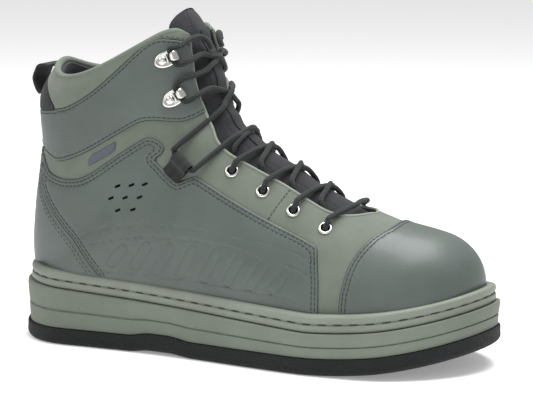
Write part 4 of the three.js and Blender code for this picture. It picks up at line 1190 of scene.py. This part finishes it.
counter_row = 3.4 * MM
toe_cap, toe_skin = panel("toe_cap_leather", form, outline_distance(form, toe_cap_outline), 2,
                          smooth_leather)
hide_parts("toe_cap")
counter, counter_skin = panel("counter_leather", form, outline_distance(form, counter_outline), 1,
                              smooth_leather)
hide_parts("heel_counter")
form_lines = relief_levels(form)
quarter, quarter_skin = panel("quarter_leather", form_lines, outline_distance(form_lines, quarter_outline), 2,
                              smooth_leather, extra=relief)
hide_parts("quarter_lateral", "quarter_medial")
patch_distance = outline_distance(form, patch_outline)
shaft_distance = np.minimum(outline_distance(form, shaft_outline), -patch_distance)
shaft, shaft_skin = panel("shaft_leather", form, shaft_distance, 1, smooth_leather)
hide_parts("shaft_panel")
collar_distance = np.minimum(outline_distance(form, collar_outline), -patch_distance)
collar, collar_skin = panel("collar_nubuck", form, collar_distance, 0, nubuck)
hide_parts("collar")
patch, patch_skin = panel("back_patch_webbing", form, patch_distance, 1, webbing)
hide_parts("back_patch")

def joined(name, parts):
    bpy.ops.object.select_all(action="DESELECT")
    for part in parts:
        part.select_set(True)
    bpy.context.view_layer.objects.active = parts[0]
    bpy.ops.object.join()
    parts[0].name = name
    return parts[0]


def evened(points, spacing, passes=3):
    """A path resampled at even steps and smoothed a little, its ends kept."""
    length = np.concatenate([[0], np.cumsum(np.linalg.norm(np.diff(points, axis=0), axis=1))])
    at = np.linspace(0, length[-1], max(4, int(length[-1] / spacing)))
    path = np.stack([np.interp(at, length, points[:, k]) for k in range(points.shape[1])], axis=1)
    for _ in range(passes):
        path[1:-1] = 0.25 * path[:-2] + 0.5 * path[1:-1] + 0.25 * path[2:]
    return path


# Rows of stitches along the panels' edges, where the welt doesn't cover them
def seen_runs(chains, above=1.0 * MM, side=None):
    """The parts of chains that are above the welt, cut where they leave the given side."""
    runs = []
    for points, normals in chains:
        keep = points[:, 2] > midsole_top(points[:, 0]) + welt_height + above
        if side is not None:
            keep &= np.sign(points[:, 1]) == side
        edges = np.flatnonzero(np.diff(np.concatenate([[0], keep.astype(int), [0]])))
        for start, end in zip(edges[::2], edges[1::2]):
            if end - start > 4:
                runs.append((points[start:end], normals[start:end]))
    return runs


def edge_and_shadow_cord(name, skin):
    """The dark raw edge of a sewn-on panel with painted shadow where it laps over the base, as a fine dark cord laid
    against it.
    """
    parts = []
    for i, (points, normals) in enumerate(seen_runs(contour(skin, skin.values["edge"], 0.12 * MM), 0.5 * MM)):
        path = evened(points + normals * 0.12 * MM, 1.3 * MM, 2)
        parts.append(tube(f"{name}_{i}", path, 0.34 * MM, 6, dark_thread_and_edge_shadow))
    return joined(name, parts)


def seam_rows(name, skin, levels, thickness=overlay):
    chains = []
    for level in levels:
        chains += seen_runs(contour(skin, skin.values["edge"], level))
    lifted = [(points + normals * (thickness - groove_depth), normals) for points, normals in chains]
    return stitches(name, lifted, stitch_pitch, stitch_length, stitch_radius, thread, 0.08 * MM)


# Dark cords along the panels' edges: partly the raw edge's own dark colour, partly painted shadow where each panel
# laps over the base
for name, skin in (("toe_cap_edge_and_shadow", toe_skin), ("counter_edge_and_shadow", counter_skin), ("quarter_edge_and_shadow", quarter_skin),
                   ("shaft_edge_and_shadow", shaft_skin), ("patch_edge_and_shadow", patch_skin)):
    edge_and_shadow_cord(name, skin)
seam_rows("toe_cap_stitches", toe_skin, [row_inset, row_inset + row_apart])
seam_rows("counter_stitches", counter_skin, [counter_row, counter_row + row_apart])
seam_rows("quarter_stitches", quarter_skin, [row_inset, row_inset + row_apart])
seam_rows("shaft_stitches", shaft_skin, [row_inset])
seam_rows("patch_stitches", patch_skin, [row_inset])
collar_chains = seen_runs(contour(collar_skin, collar_skin.values["edge"], 1.3 * MM))
collar_chains = [(points, normals) for points, normals in collar_chains
                 if (outline_distance(Skin(points, normals, None, {}), collar_outline) < 2.5 * MM).mean() > 0.6]
stitches("collar_stitches", [(points + normals * 0.9 * MM, normals) for points, normals in collar_chains],
         stitch_pitch, stitch_length, stitch_radius, thread, 0.08 * MM)

# A single stitched seam across the eyestay, on each side
cross_seam = rounded_curve([(0.622, 0.585), (0.61, 0.53), (0.598, 0.478), (0.59, 0.44)])
cross_runs = []
for side in sides.values():
    line = []
    for x, z in cross_seam:
        point, normal, _, _ = form_tree.ray_cast(Vector((x, side * 0.3, z)), Vector((0, -side, 0)))
        if point is not None:
            line.append((np.array(point), np.array(normal)))
    cross_runs.append((np.array([p for p, _ in line]), np.array([n for _, n in line])))
stitches("eyestay_stitches", cross_runs, 2.6 * MM, 2.1 * MM, 0.4 * MM, dark_thread_and_edge_shadow, 0.0)

# Woven tab in the band under the shaft panel, left bare
tab_outline = corners((0.178, 0.572), (0.242, 0.657), (0.244, 0.703), (0.18, 0.618))
tab_distance = np.where(form.points[:, 1] < 0, outline_distance(form, tab_outline), -0.05)
tab = panel("woven_tab", form, tab_distance, 0, tab_weave, 1.0 * MM)[0]
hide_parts("label_tab")

# Piping along the throat, and the rolled collar with its padding
on_collar = (form.values["u"][mouth] > collar_section - 0.02) | (form.values["kept"][mouth] < 0.06 * MM)
first = int(np.flatnonzero(on_collar & ~np.roll(on_collar, 1))[0])
mouth, on_collar = np.roll(mouth, -first), np.roll(on_collar, -first)
last = int(np.flatnonzero(~on_collar)[0])
pipe_radius, pipe_sunk, pipe_step = 1.05 * MM, 0.3 * MM, 1.6 * MM
inward = form.points[mouth] - form.normals[mouth] * pipe_sunk
tube("throat_piping", evened(inward[last - 1:], pipe_step), pipe_radius, 10, piping_leather)
rim, rim_out = form.points[mouth[:last]], form.normals[mouth[:last]]
rim_t = form.values["t"][mouth[:last]]
binding_sunk, binding_rise, binding_step, binding_taper = 1.0 * MM, 0.5 * MM, 2.0 * MM, 9 * MM
binding_path = evened(rim - rim_out * binding_sunk + np.array([0, 0, binding_rise]), binding_step)
place_along = np.arange(len(binding_path))
from_end = np.minimum(place_along, place_along[::-1]) * binding_step
binding_radius = (1.0 + 1.35 * smooth(from_end / binding_taper)) * MM
tube("collar_binding", binding_path, binding_radius, 14, nubuck)


padding_section, padding_depth = 14.2, 52 * MM


def collar_padding():
    """A foam-filled lining inside the collar, fullest a little under its edge."""
    height = form.points[:, 2]
    order = np.argsort(rim_t)
    top = np.interp(form.values["t"], rim_t[order], rim[order, 2])
    down = np.clip(top - height, 0, None)
    values = {**form.values, "down": down}
    inside = np.where(form.values["u"] > padding_section, padding_depth - down, -1.0)
    skin = split(Skin(form.points, form.normals, form.tris, values), inside, 0.0, keep_low=False)
    down = skin.values["down"]
    full = np.sin(np.pi * np.clip((down + 3 * MM) / (55 * MM), 0, 1)) ** 0.7
    edge = smooth((1 - skin.values["t"]) / 0.06)
    thick = (0.8 * MM + 6.2 * MM * full) * (0.35 + 0.65 * edge)
    return solid_skin("collar_padding", skin, -wall - 0.02 * MM, -wall - thick, lining_cloth)


padding = collar_padding()

# Tongue: a padded blade on the same surface, crowned in the throat's gap
tongue_foot, tongue_top = 6.5, 20.0
tongue_thickness, tongue_crown, tongue_edge = 6 * MM, 0.8 * MM, 1.8 * MM
tongue_columns = 28


def tongue_half(u):
    wide = upper_width * sections["throat"](u) + tongue_margin
    return wide * round_end(u - tongue_foot, 0.8) * round_end(tongue_top - u, 0.8)


def blade_rows():
    near = [tongue_foot + s for s in (0.004, 0.02, 0.05, 0.1, 0.2, 0.3, 0.4)]
    far = [tongue_top - s for s in (0.5, 0.4, 0.3, 0.2, 0.12, 0.06, 0.02, 0.004)]
    rows = form_rows()
    rows = rows[(rows > tongue_foot + 0.45) & (rows < tongue_top - 0.55)]
    return np.unique(np.concatenate([near, rows, np.arange(collar_section, tongue_top - 0.55, 0.08), far]))


blade_u = blade_rows()
blade_k = np.linspace(-1, 1, 2 * tongue_columns + 1)


def blade_surface():
    u = np.repeat(blade_u[:, None], len(blade_k), axis=1)
    reach = np.maximum(np.abs(blade_k)[None, :] * tongue_half(u), 1e-7)
    points = np.where((blade_k < 0)[None, :, None], face_point(u, angle_at(u, LATERAL, reach), LATERAL),
                      face_point(u, angle_at(u, MEDIAL, reach), MEDIAL))
    points = eased_fold(points, blade_u, np.ones(len(blade_k)))
    along_rows = np.gradient(points, axis=0)
    across = np.gradient(points, axis=1)
    normals = np.cross(across, along_rows)
    normals /= np.maximum(np.linalg.norm(normals, axis=2, keepdims=True), 1e-12)
    middle = normals[len(blade_u) // 2, tongue_columns]
    if middle[0] < 0:
        normals = -normals
    for end, inner in ((slice(0, 4), 4), (slice(-4, None), -5)):
        normals[end] = normals[inner]
    return points, normals, reach


blade_points, blade_normals, blade_reach = blade_surface()


def blade_top(u, reach, share):
    """How high the tongue's face is over the boot's: down under the throat's edge, crowned in the gap."""
    past_end = smooth((u - throat_section - 0.1) / 0.8)
    gap = throat_half(np.minimum(u, collar_section))
    in_gap = past_end * smooth((gap - tongue_margin / 3 - reach) / tongue_margin)
    above = smooth((u - 18.4) / 0.8)
    puff = 0.4 * MM * in_gap * np.cos(np.pi * np.clip(share, -1, 1) / 2)
    puff -= 0.5 * MM * in_gap * smooth(1 - np.abs(np.abs(share) - 0.42) / 0.05)
    ripple = 0.5 * MM * in_gap * np.sin(u * 4.1 + 0.6 * np.sin(share * 4)) * (1 - above)
    return -(wall + tongue_gap) + tongue_crown * in_gap + puff + ripple


def over_tongue(u, reach, out):
    """A point over the throat, from its section, signed reach from the ridge and height over the face."""
    row = np.interp(u, blade_u, np.arange(len(blade_u)))
    share = np.clip(reach / max(float(tongue_half(u)), 1e-6), -1, 1)
    column = (share + 1) * tongue_columns
    r, c = min(int(row), len(blade_u) - 2), min(int(column), 2 * tongue_columns - 1)
    a, b = row - r, column - c
    mix = lambda grid: ((1 - a) * ((1 - b) * grid[r, c] + b * grid[r, c + 1])
                        + a * ((1 - b) * grid[r + 1, c] + b * grid[r + 1, c + 1]))
    return mix(blade_points) + mix(blade_normals) * out


def tongue_height(u, reach):
    return float(blade_top(np.array(u), abs(reach), reach / max(float(tongue_half(u)), 1e-6)))


def grid_faces(rows, cols):
    index = np.arange(rows * cols).reshape(rows, cols)
    quads = np.stack([index[:-1, :-1], index[:-1, 1:], index[1:, 1:], index[1:, :-1]], -1).reshape(-1, 4)
    rim = np.concatenate([index[0, :-1], index[:-1, -1], index[-1, :0:-1], index[:0:-1, 0]])
    return quads, rim


def slab(name, top, under, material, angle=50):
    """A closed piece between two grids of points, the first one facing out."""
    rows, cols = top.shape[:2]
    quads, rim = grid_faces(rows, cols)
    count = rows * cols
    after = np.roll(rim, -1)
    walls = np.stack([rim, after, after + count, rim + count], axis=1)
    points = np.concatenate([top.reshape(-1, 3), under.reshape(-1, 3)])
    faces = np.concatenate([quads[:, ::-1], quads + count, walls])
    piece = mesh_piece(name, points, faces, material, angle)
    bpy.ops.object.mode_set(mode="EDIT")
    bpy.ops.mesh.select_all(action="SELECT")
    bpy.ops.mesh.normals_make_consistent(inside=False)
    bpy.ops.object.mode_set(mode="OBJECT")
    return piece


def make_tongue():
    u = np.repeat(blade_u[:, None], len(blade_k), axis=1)
    share = np.repeat(blade_k[None, :], len(blade_u), axis=0)
    top = blade_top(u, blade_reach, share)
    thick = tongue_edge + (tongue_thickness - tongue_edge) * smooth((1 - np.abs(share)) * 2.5)
    ends = round_end(u - tongue_foot, 0.35) * round_end(tongue_top - u, 0.5)
    rolled = np.sqrt(np.maximum(0, 1 - np.maximum(0, (np.abs(share) - 0.94) / 0.06) ** 2))
    thick = thick * (0.15 + 0.85 * ends * rolled)
    middle = top - 0.5 * (tongue_edge + (tongue_thickness - tongue_edge) * smooth((1 - np.abs(share)) * 2.5))
    upper_grid = blade_points + blade_normals * (middle + thick / 2)[..., None]
    under_grid = blade_points + blade_normals * (middle - thick / 2)[..., None]
    piece = slab("padded_tongue", upper_grid, under_grid, tongue_cloth)
    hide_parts("tongue")
    # A flat ribbon sewn down the middle
    keep = (blade_u > 10.2) & (blade_u < 18.9)
    half, rows = 6.0 * MM, blade_u[keep]
    across = np.linspace(-1, 1, 9)
    grids = []
    for lift in (1.0, -0.2):
        grids.append(np.array([[over_tongue(row, k * half, tongue_height(row, k * half)
                                            + lift * MM * (0.75 + 0.25 * (abs(k) < 0.99))) for k in across]
                               for row in rows]))
    slab("tongue_ribbon", grids[0], grids[1], webbing)


make_tongue()

# Laces: one cord that crosses from holder to holder on both sides and runs straight across at the toe end
lace_radius = 1.7 * MM


def eyelet_in(place, over=3.2):
    """From over the eyestay down into the hole."""
    return [(place.at(7.0, 0, over), 1), (place.at(3.6, 0, over), 1), (place.at(1.2, 0, 2.4), 1),
            (place.at(0.1, 0, 0.4), 0.97), (place.at(0, 0, -2.2), 0.9)]


def eyelet_out(place):
    """Up from under the hole to the throat's edge, squeezed between the eyestay and the tongue."""
    u = place.u + 0.16
    edge = float(throat_half(u))
    hidden = [(place.at(1.4, 0, -3.4), 0.45), (over_tongue(u, place.side * (edge + 3 * MM), -3.1 * MM), 0.3),
              (over_tongue(u + 0.12, place.side * (edge - 0.5 * MM), -2.6 * MM), 0.5),
              (over_tongue(u + 0.2, place.side * (edge - 3.0 * MM), -1.0 * MM), 0.95)]
    return hidden


def crossing(start_u, end_u, side, upper_one, shares):
    """Over the tongue to the other side; one strand of each pair rides over the other in the middle."""
    points = []
    for share in shares:
        u = start_u + (end_u - start_u) * share
        gap = float(throat_half(min(u, collar_section)))
        reach = side * gap * (1 - 2 * share)
        rest = tongue_height(u, reach) + lace_radius - 0.3 * MM
        over_edge = 3.0 * MM * smooth((share - 0.78) / 0.2)
        lift = 3.1 * MM * math.exp(-((share - 0.5) / 0.13) ** 2) if upper_one else 0.0
        points.append((over_tongue(u, reach, max(rest + lift, over_edge)), 1))
    return points


def loop_pass(place):
    """Up through the webbing eye."""
    return [(place.at(12.5, -9.0, 4.2), 1), (place.at(9.2, -8.6, 3.9), 1), (place.at(7.3, -6.3, 3.7), 0.97),
            (place.at(7.3, 0, 3.7), 0.97), (place.at(7.3, 6.3, 3.7), 0.97), (place.at(9.0, 8.8, 3.9), 1),
            (place.at(12.0, 9.6, 4.2), 1)]


def hook_pass(place, last=False):
    """Round behind the hook's curl, from under it to over it."""
    route = [(place.at(12.5, -6.4, 4.4), 1), (place.at(8.0, -6.6, 4.2), 1), (place.at(4.6, -5.4, 4.0), 1),
             (place.at(3.5, -2.6, 3.9), 1), (place.at(3.5, 2.6, 3.9), 1), (place.at(4.6, 5.3, 4.0), 1)]
    return route if last else route + [(place.at(8.0, 6.6, 4.2), 1), (place.at(12.5, 6.4, 4.4), 1)]


def lace_half(side):
    """One half of the lace: in at the toe-most eyelet of a side, then from side to side to a top hook."""
    route = eyelet_in(eyelets[side][3])[2:]
    here = side
    for step in range(3, 0, -1):
        place, target = eyelets[here][step], eyelets[-here][step - 1]
        route += eyelet_out(place)
        route += crossing(place.u + 0.42, target.u - 0.08, here, here == LATERAL, (0.12, 0.3, 0.5, 0.7, 0.86))
        route += eyelet_in(target)
        here = -here
    place, target = eyelets[here][0], lace_loops[-here]
    route += eyelet_out(place)
    route += crossing(place.u + 0.42, target.u - 0.9, here, here == MEDIAL, (0.12, 0.3, 0.5, 0.7, 0.88))
    route += loop_pass(target)
    here = -here
    for step, name in enumerate(("low", "high")):
        source = lace_loops[here] if step == 0 else hooks[here]["low"]
        target = hooks[-here][name]
        start = source.u + (0.7 if step == 0 else 0.25)
        over = (here == LATERAL) == (step == 0)
        route += crossing(start, target.u - 0.25, here, over, (0.14, 0.32, 0.5, 0.68, 0.86))
        route += hook_pass(target, last=name == "high")
        here = -here
    return route, here


def lace_tube(name, route):
    path = eased([point for point, _ in route], 5)
    wide = eased([[thick, 0, 0] for _, thick in route], 5)[:, 0]
    return tube(name, path, lace_radius * np.clip(wide, 0.25, 1.0), 12, cord_fibre)


bar_u = eyelets[LATERAL][3].u - 0.28
bar = [(over_tongue(bar_u, reach * MM, max(tongue_height(bar_u, reach * MM) + lace_radius, 2.6 * MM)), 1)
       for reach in (10, 5, 0, -5, -10)]
halves = {side: lace_half(side) for side in sides.values()}
start_medial = eyelet_in(eyelets[MEDIAL][3])[:2]
start_lateral = eyelet_in(eyelets[LATERAL][3])[:2]
whole = (halves[MEDIAL][0][::-1] + start_medial[::-1] + bar + start_lateral + halves[LATERAL][0])
lace_piece = lace_tube("lace", whole)
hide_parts(*[f"lace_cross_{i}" for i in range(1, 7)], "lace_bar")

# Free ends of the lace, on the source's own route from the top hooks to the tongue
end_route = [(-38.2, 30.2, 191.5), (-37, 27.6, 193), (-35.6, 24.4, 194.6), (-34.2, 20.6, 196), (-33, 16.6, 196.8),
             (-31.8, 12.8, 196.6), (-30, 9.8, 195), (-28, 8, 192), (-26.6, 7.6, 188.8)]
for name, side in sides.items():
    points = [np.array([x, side * y, z]) * MM for x, y, z in end_route]
    top_hook = hooks[side]["high"]
    lead = [top_hook.at(3.5, 2.6, 3.9), top_hook.at(4.6, 5.3, 4.0)]
    path = eased(lead + points, 3)
    piece = tube(f"lace_end_{name}", path, lace_radius, 12, cord_fibre)
    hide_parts(f"lace_end_{name}")
    route = [tuple(map(float, point)) for point in path]
    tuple(route[0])

# Fittings
def ribbon(name, path, half_width, thickness, across, material, sides=20, square=0.32):
    """A flat strap of webbing or metal along a path, its width across it and its edges rounded."""
    path = np.asarray(path, float)
    count = len(path)
    half_width = np.broadcast_to(half_width, count)
    thickness = np.broadcast_to(thickness, count)
    ahead = np.gradient(path, axis=0)
    ahead /= np.linalg.norm(ahead, axis=1, keepdims=True)
    across = np.asarray(across, float)
    up = np.cross(ahead, across)
    up /= np.linalg.norm(up, axis=1, keepdims=True)
    turn = 2 * np.pi * np.arange(sides) / sides
    wide = np.sign(np.cos(turn)) * np.abs(np.cos(turn)) ** square
    high = np.sign(np.sin(turn)) * np.abs(np.sin(turn)) ** square
    points = []
    for i in range(count):
        points.append(path[i] + half_width[i] * wide[:, None] * across + thickness[i] / 2 * high[:, None] * up[i])
    faces = []
    for i in range(count - 1):
        for k in range(sides):
            a, b = i * sides + k, i * sides + (k + 1) % sides
            faces.append((a, b, b + sides, a + sides))
    faces.append(tuple(reversed(range(sides))))
    faces.append(tuple((count - 1) * sides + k for k in range(sides)))
    piece = mesh_piece(name, np.concatenate(points), faces, material, 50)
    turned_out(piece)
    length = np.concatenate([[0], np.cumsum(np.linalg.norm(np.diff(path, axis=0), axis=1))])
    ring_uv(piece, length, sides)
    return piece


def turned_out(piece):
    """Faces all outward."""
    bpy.ops.object.select_all(action="DESELECT")
    piece.select_set(True)
    bpy.context.view_layer.objects.active = piece
    bpy.ops.object.mode_set(mode="EDIT")
    bpy.ops.mesh.select_all(action="SELECT")
    bpy.ops.mesh.normals_make_consistent(inside=False)
    bpy.ops.object.mode_set(mode="OBJECT")


def turned(name, profile, steps, material):
    """A closed profile, rows of radius and height in millimetres, spun round the Z axis."""
    mesh = bpy.data.meshes.new(name)
    count = len(profile)
    ring = [(i, (i + 1) % count) for i in range(count)]
    mesh.from_pydata([(r * MM, 0, z * MM) for r, z in profile], ring, [])
    piece = bpy.data.objects.new(name, mesh)
    bpy.context.scene.collection.objects.link(piece)
    mesh.materials.append(material)
    bpy.ops.object.select_all(action="DESELECT")
    piece.select_set(True)
    bpy.context.view_layer.objects.active = piece
    bpy.ops.object.mode_set(mode="EDIT")
    bpy.ops.mesh.select_all(action="SELECT")
    bpy.ops.mesh.spin(steps=steps, angle=2 * math.pi, center=(0, 0, 0), axis=(0, 0, 1))
    bpy.ops.mesh.select_all(action="SELECT")
    bpy.ops.mesh.remove_doubles(threshold=0.01 * MM)
    bpy.ops.mesh.normals_make_consistent(inside=False)
    bpy.ops.object.mode_set(mode="OBJECT")
    bpy.ops.object.shade_smooth_by_angle(angle=math.radians(50))
    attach(piece, "root")
    return piece


def copied(source, name, matrix):
    """A copy with its own mesh, set at a place on the boot."""
    piece = source.copy()
    piece.data = source.data.copy()
    piece.name = name
    piece.data.transform(matrix)
    bpy.context.scene.collection.objects.link(piece)
    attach(piece, "root")
    return piece


eyelet_profile = [
    (2.45, -2.9), (2.95, -2.9), (3.0, -0.6), (3.3, -0.05), (4.15, 0.0), (4.32, 0.18), (4.34, 0.42), (4.15, 0.72),
    (3.7, 0.98), (3.2, 1.02), (2.8, 0.86), (2.55, 0.5), (2.45, 0.0),
]
eyelet_model = turned("eyelet_model", eyelet_profile, 36, nickel)
for name, side in sides.items():
    for i, place in enumerate(eyelets[side]):
        ring = copied(eyelet_model, f"eyelet_ring_{name}_{i + 1}", place.matrix(0.15))
        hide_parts(f"eyelet_{name}_{i + 1}")
bpy.data.objects.remove(eyelet_model)


def hook_model():
    """An oval plate with a raised rim, a domed rivet, and a metal tongue that curls back over the lace."""
    bpy.ops.object.select_all(action="DESELECT")
    bpy.ops.mesh.primitive_cylinder_add(vertices=40, radius=1, depth=1, location=(0, 0, 0))
    plate = bpy.context.object
    bpy.ops.object.mode_set(mode="EDIT")
    bpy.ops.mesh.select_all(action="SELECT")
    bpy.ops.transform.resize(value=(8.0 * MM, 4.9 * MM, 1.0 * MM))
    bpy.ops.transform.translate(value=(0, 0, 0.5 * MM))
    bpy.ops.mesh.select_all(action="DESELECT")
    bpy.ops.object.mode_set(mode="OBJECT")
    for face in plate.data.polygons:
        face.select = face.normal.z > 0.9
    bpy.ops.object.mode_set(mode="EDIT")
    bpy.ops.mesh.select_mode(type="FACE")
    bpy.ops.mesh.inset(thickness=0.9 * MM)
    bpy.ops.transform.translate(value=(0, 0, 0.35 * MM))
    bpy.ops.mesh.inset(thickness=0.7 * MM)
    bpy.ops.transform.translate(value=(0, 0, -0.3 * MM))
    bpy.ops.object.mode_set(mode="OBJECT")
    bevel = plate.modifiers.new("bevel", "BEVEL")
    bevel.width = 0.22 * MM
    bevel.segments = 2
    bpy.ops.object.modifier_apply(modifier="bevel")
    plate.data.materials.append(nickel)
    dome = [(0.01, 0.9), (2.7, 0.9), (2.75, 1.15), (2.5, 1.55), (1.9, 1.95), (1.0, 2.2), (0.01, 2.28)]
    rivet = turned("rivet", dome, 24, nickel)
    rivet.data.transform(Matrix.Translation((-2.6 * MM, 0, 0)))
    turn = np.linspace(-0.5 * math.pi, 0.62 * math.pi, 22)
    centre, reach = np.array([3.6, 0, 3.8]), 3.6
    curl = [centre + reach * np.array([math.cos(a), 0, math.sin(a)]) for a in turn]
    path = np.array([[0.5, 0, 0.75], [2.0, 0, 0.35]] + [list(point) for point in curl]) * MM
    narrowing = np.interp(np.linspace(0, 1, 22), [0, 0.6, 0.9, 1], [3.3, 3.2, 2.7, 1.6])
    wide = np.concatenate([[3.4, 3.4], narrowing]) * MM
    strap = ribbon("hook_curl", path, wide, 1.3 * MM, (0, 1, 0), nickel, 16, 0.45)
    piece = joined("hook_model", [plate, rivet, strap])
    bpy.ops.object.shade_smooth_by_angle(angle=math.radians(40))
    return piece


hook_source = hook_model()
for name, side in sides.items():
    for height, place in hooks[side].items():
        piece = copied(hook_source, f"lace_hook_{name}_{height}", place.matrix(1.5))
        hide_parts(f"hook_{name}_{height}")
bpy.data.objects.remove(hook_source)


def loop_path():
    """From the sewn-down tail round the eye and back, in the loop's own millimetres."""
    turn = np.linspace(-0.5 * math.pi, 0.95 * math.pi, 20)
    eye = [(7.3 + 3.2 * math.cos(a), 0, 3.7 + 3.2 * math.sin(a)) for a in turn]
    back = [(2.4, 0, 2.1), (0.0, 0, 1.4), (-4.0, 0, 1.3)]
    return np.array([(-4.0, 0, 0.5), (0, 0, 0.5), (4.0, 0, 0.5)] + eye + back) * MM


loop_source = ribbon("loop_model", loop_path(), 6.5 * MM, 0.95 * MM, (0, 1, 0), ribbed_webbing, 20, 0.2)
for name, side in sides.items():
    piece = copied(loop_source, f"webbing_loop_{name}", lace_loops[side].matrix(1.6))
    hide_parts(f"lace_loop_{name}")
bpy.data.objects.remove(loop_source)

# Pull loop behind the collar, leaning with the heel's back
pull_reach, pull_half, pull_width = 10.5, 10.0, 22.0
pull_u = heel_section + 4.35
pull_low, pull_middle, pull_high = (face_point(np.array(pull_u + step), np.array(0.0), LATERAL)
                                    for step in (-0.45, 0, 0.45))
lean = math.atan2(pull_high[0] - pull_low[0], pull_high[2] - pull_low[2])
pull_rows = [(-1.6, -0.98), (-0.45 * pull_reach, -0.8), (-0.85 * pull_reach, -0.3), (-pull_reach + 1, 0.2),
             (-0.8 * pull_reach, 0.7), (-1.6, 0.96)]
pull_path = eased([(pull_middle[0] + MM * (x * math.cos(lean) + z * pull_half * math.sin(lean)), pull_middle[1],
                    pull_middle[2] + MM * (z * pull_half * math.cos(lean) - x * math.sin(lean))) for x, z in pull_rows], 8)
pull = ribbon("pull_loop_webbing", pull_path, pull_width / 2 * MM, 1.7 * MM, (0, 1, 0), ribbed_webbing,
              24, 0.18)
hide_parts("pull_loop")

# Floor and light: a plain pale ground and wide soft lamps
bpy.ops.object.select_all(action="DESELECT")
bpy.ops.mesh.primitive_plane_add(size=12, location=(0, 0, -0.0002))
floor = bpy.context.object
floor.name = "floor"
floor_paint, _, floor_shader, _ = base_material("pale_floor", 0.9)
floor_shader.inputs["Base Color"].default_value = linear("#f0f0f0")
floor_shader.inputs["Emission Color"].default_value = (1, 1, 1, 1)
floor_shader.inputs["Emission Strength"].default_value = 0.25
floor.data.materials.append(floor_paint)

world = bpy.data.worlds.new("studio")
bpy.context.scene.world = world
world.use_nodes = True
world.node_tree.nodes["Background"].inputs["Color"].default_value = (1, 1, 1, 1)
world.node_tree.nodes["Background"].inputs["Strength"].default_value = 0.55
bpy.context.scene.view_settings.view_transform = "Standard"


def lamp(name, place, target, size, power):
    data = bpy.data.lights.new(name, "AREA")
    data.shape = "RECTANGLE"
    data.size, data.size_y = size
    data.energy = power
    piece = bpy.data.objects.new(name, data)
    bpy.context.scene.collection.objects.link(piece)
    piece.location = place
    piece.rotation_euler = (Vector(place) - Vector(target)).to_track_quat("Z", "Y").to_euler()


lamp("key", (-0.7, -0.9, 1.2), (0, 0, 0.08), (1.0, 0.8), 7)
lamp("top", (0.2, 0.15, 1.3), (0.05, 0, 0.05), (1.2, 0.8), 30)
lamp("front", (0.4, -1.5, 0.5), (0, 0, 0.1), (0.9, 0.7), 3)

bpy.context.view_layer.update()
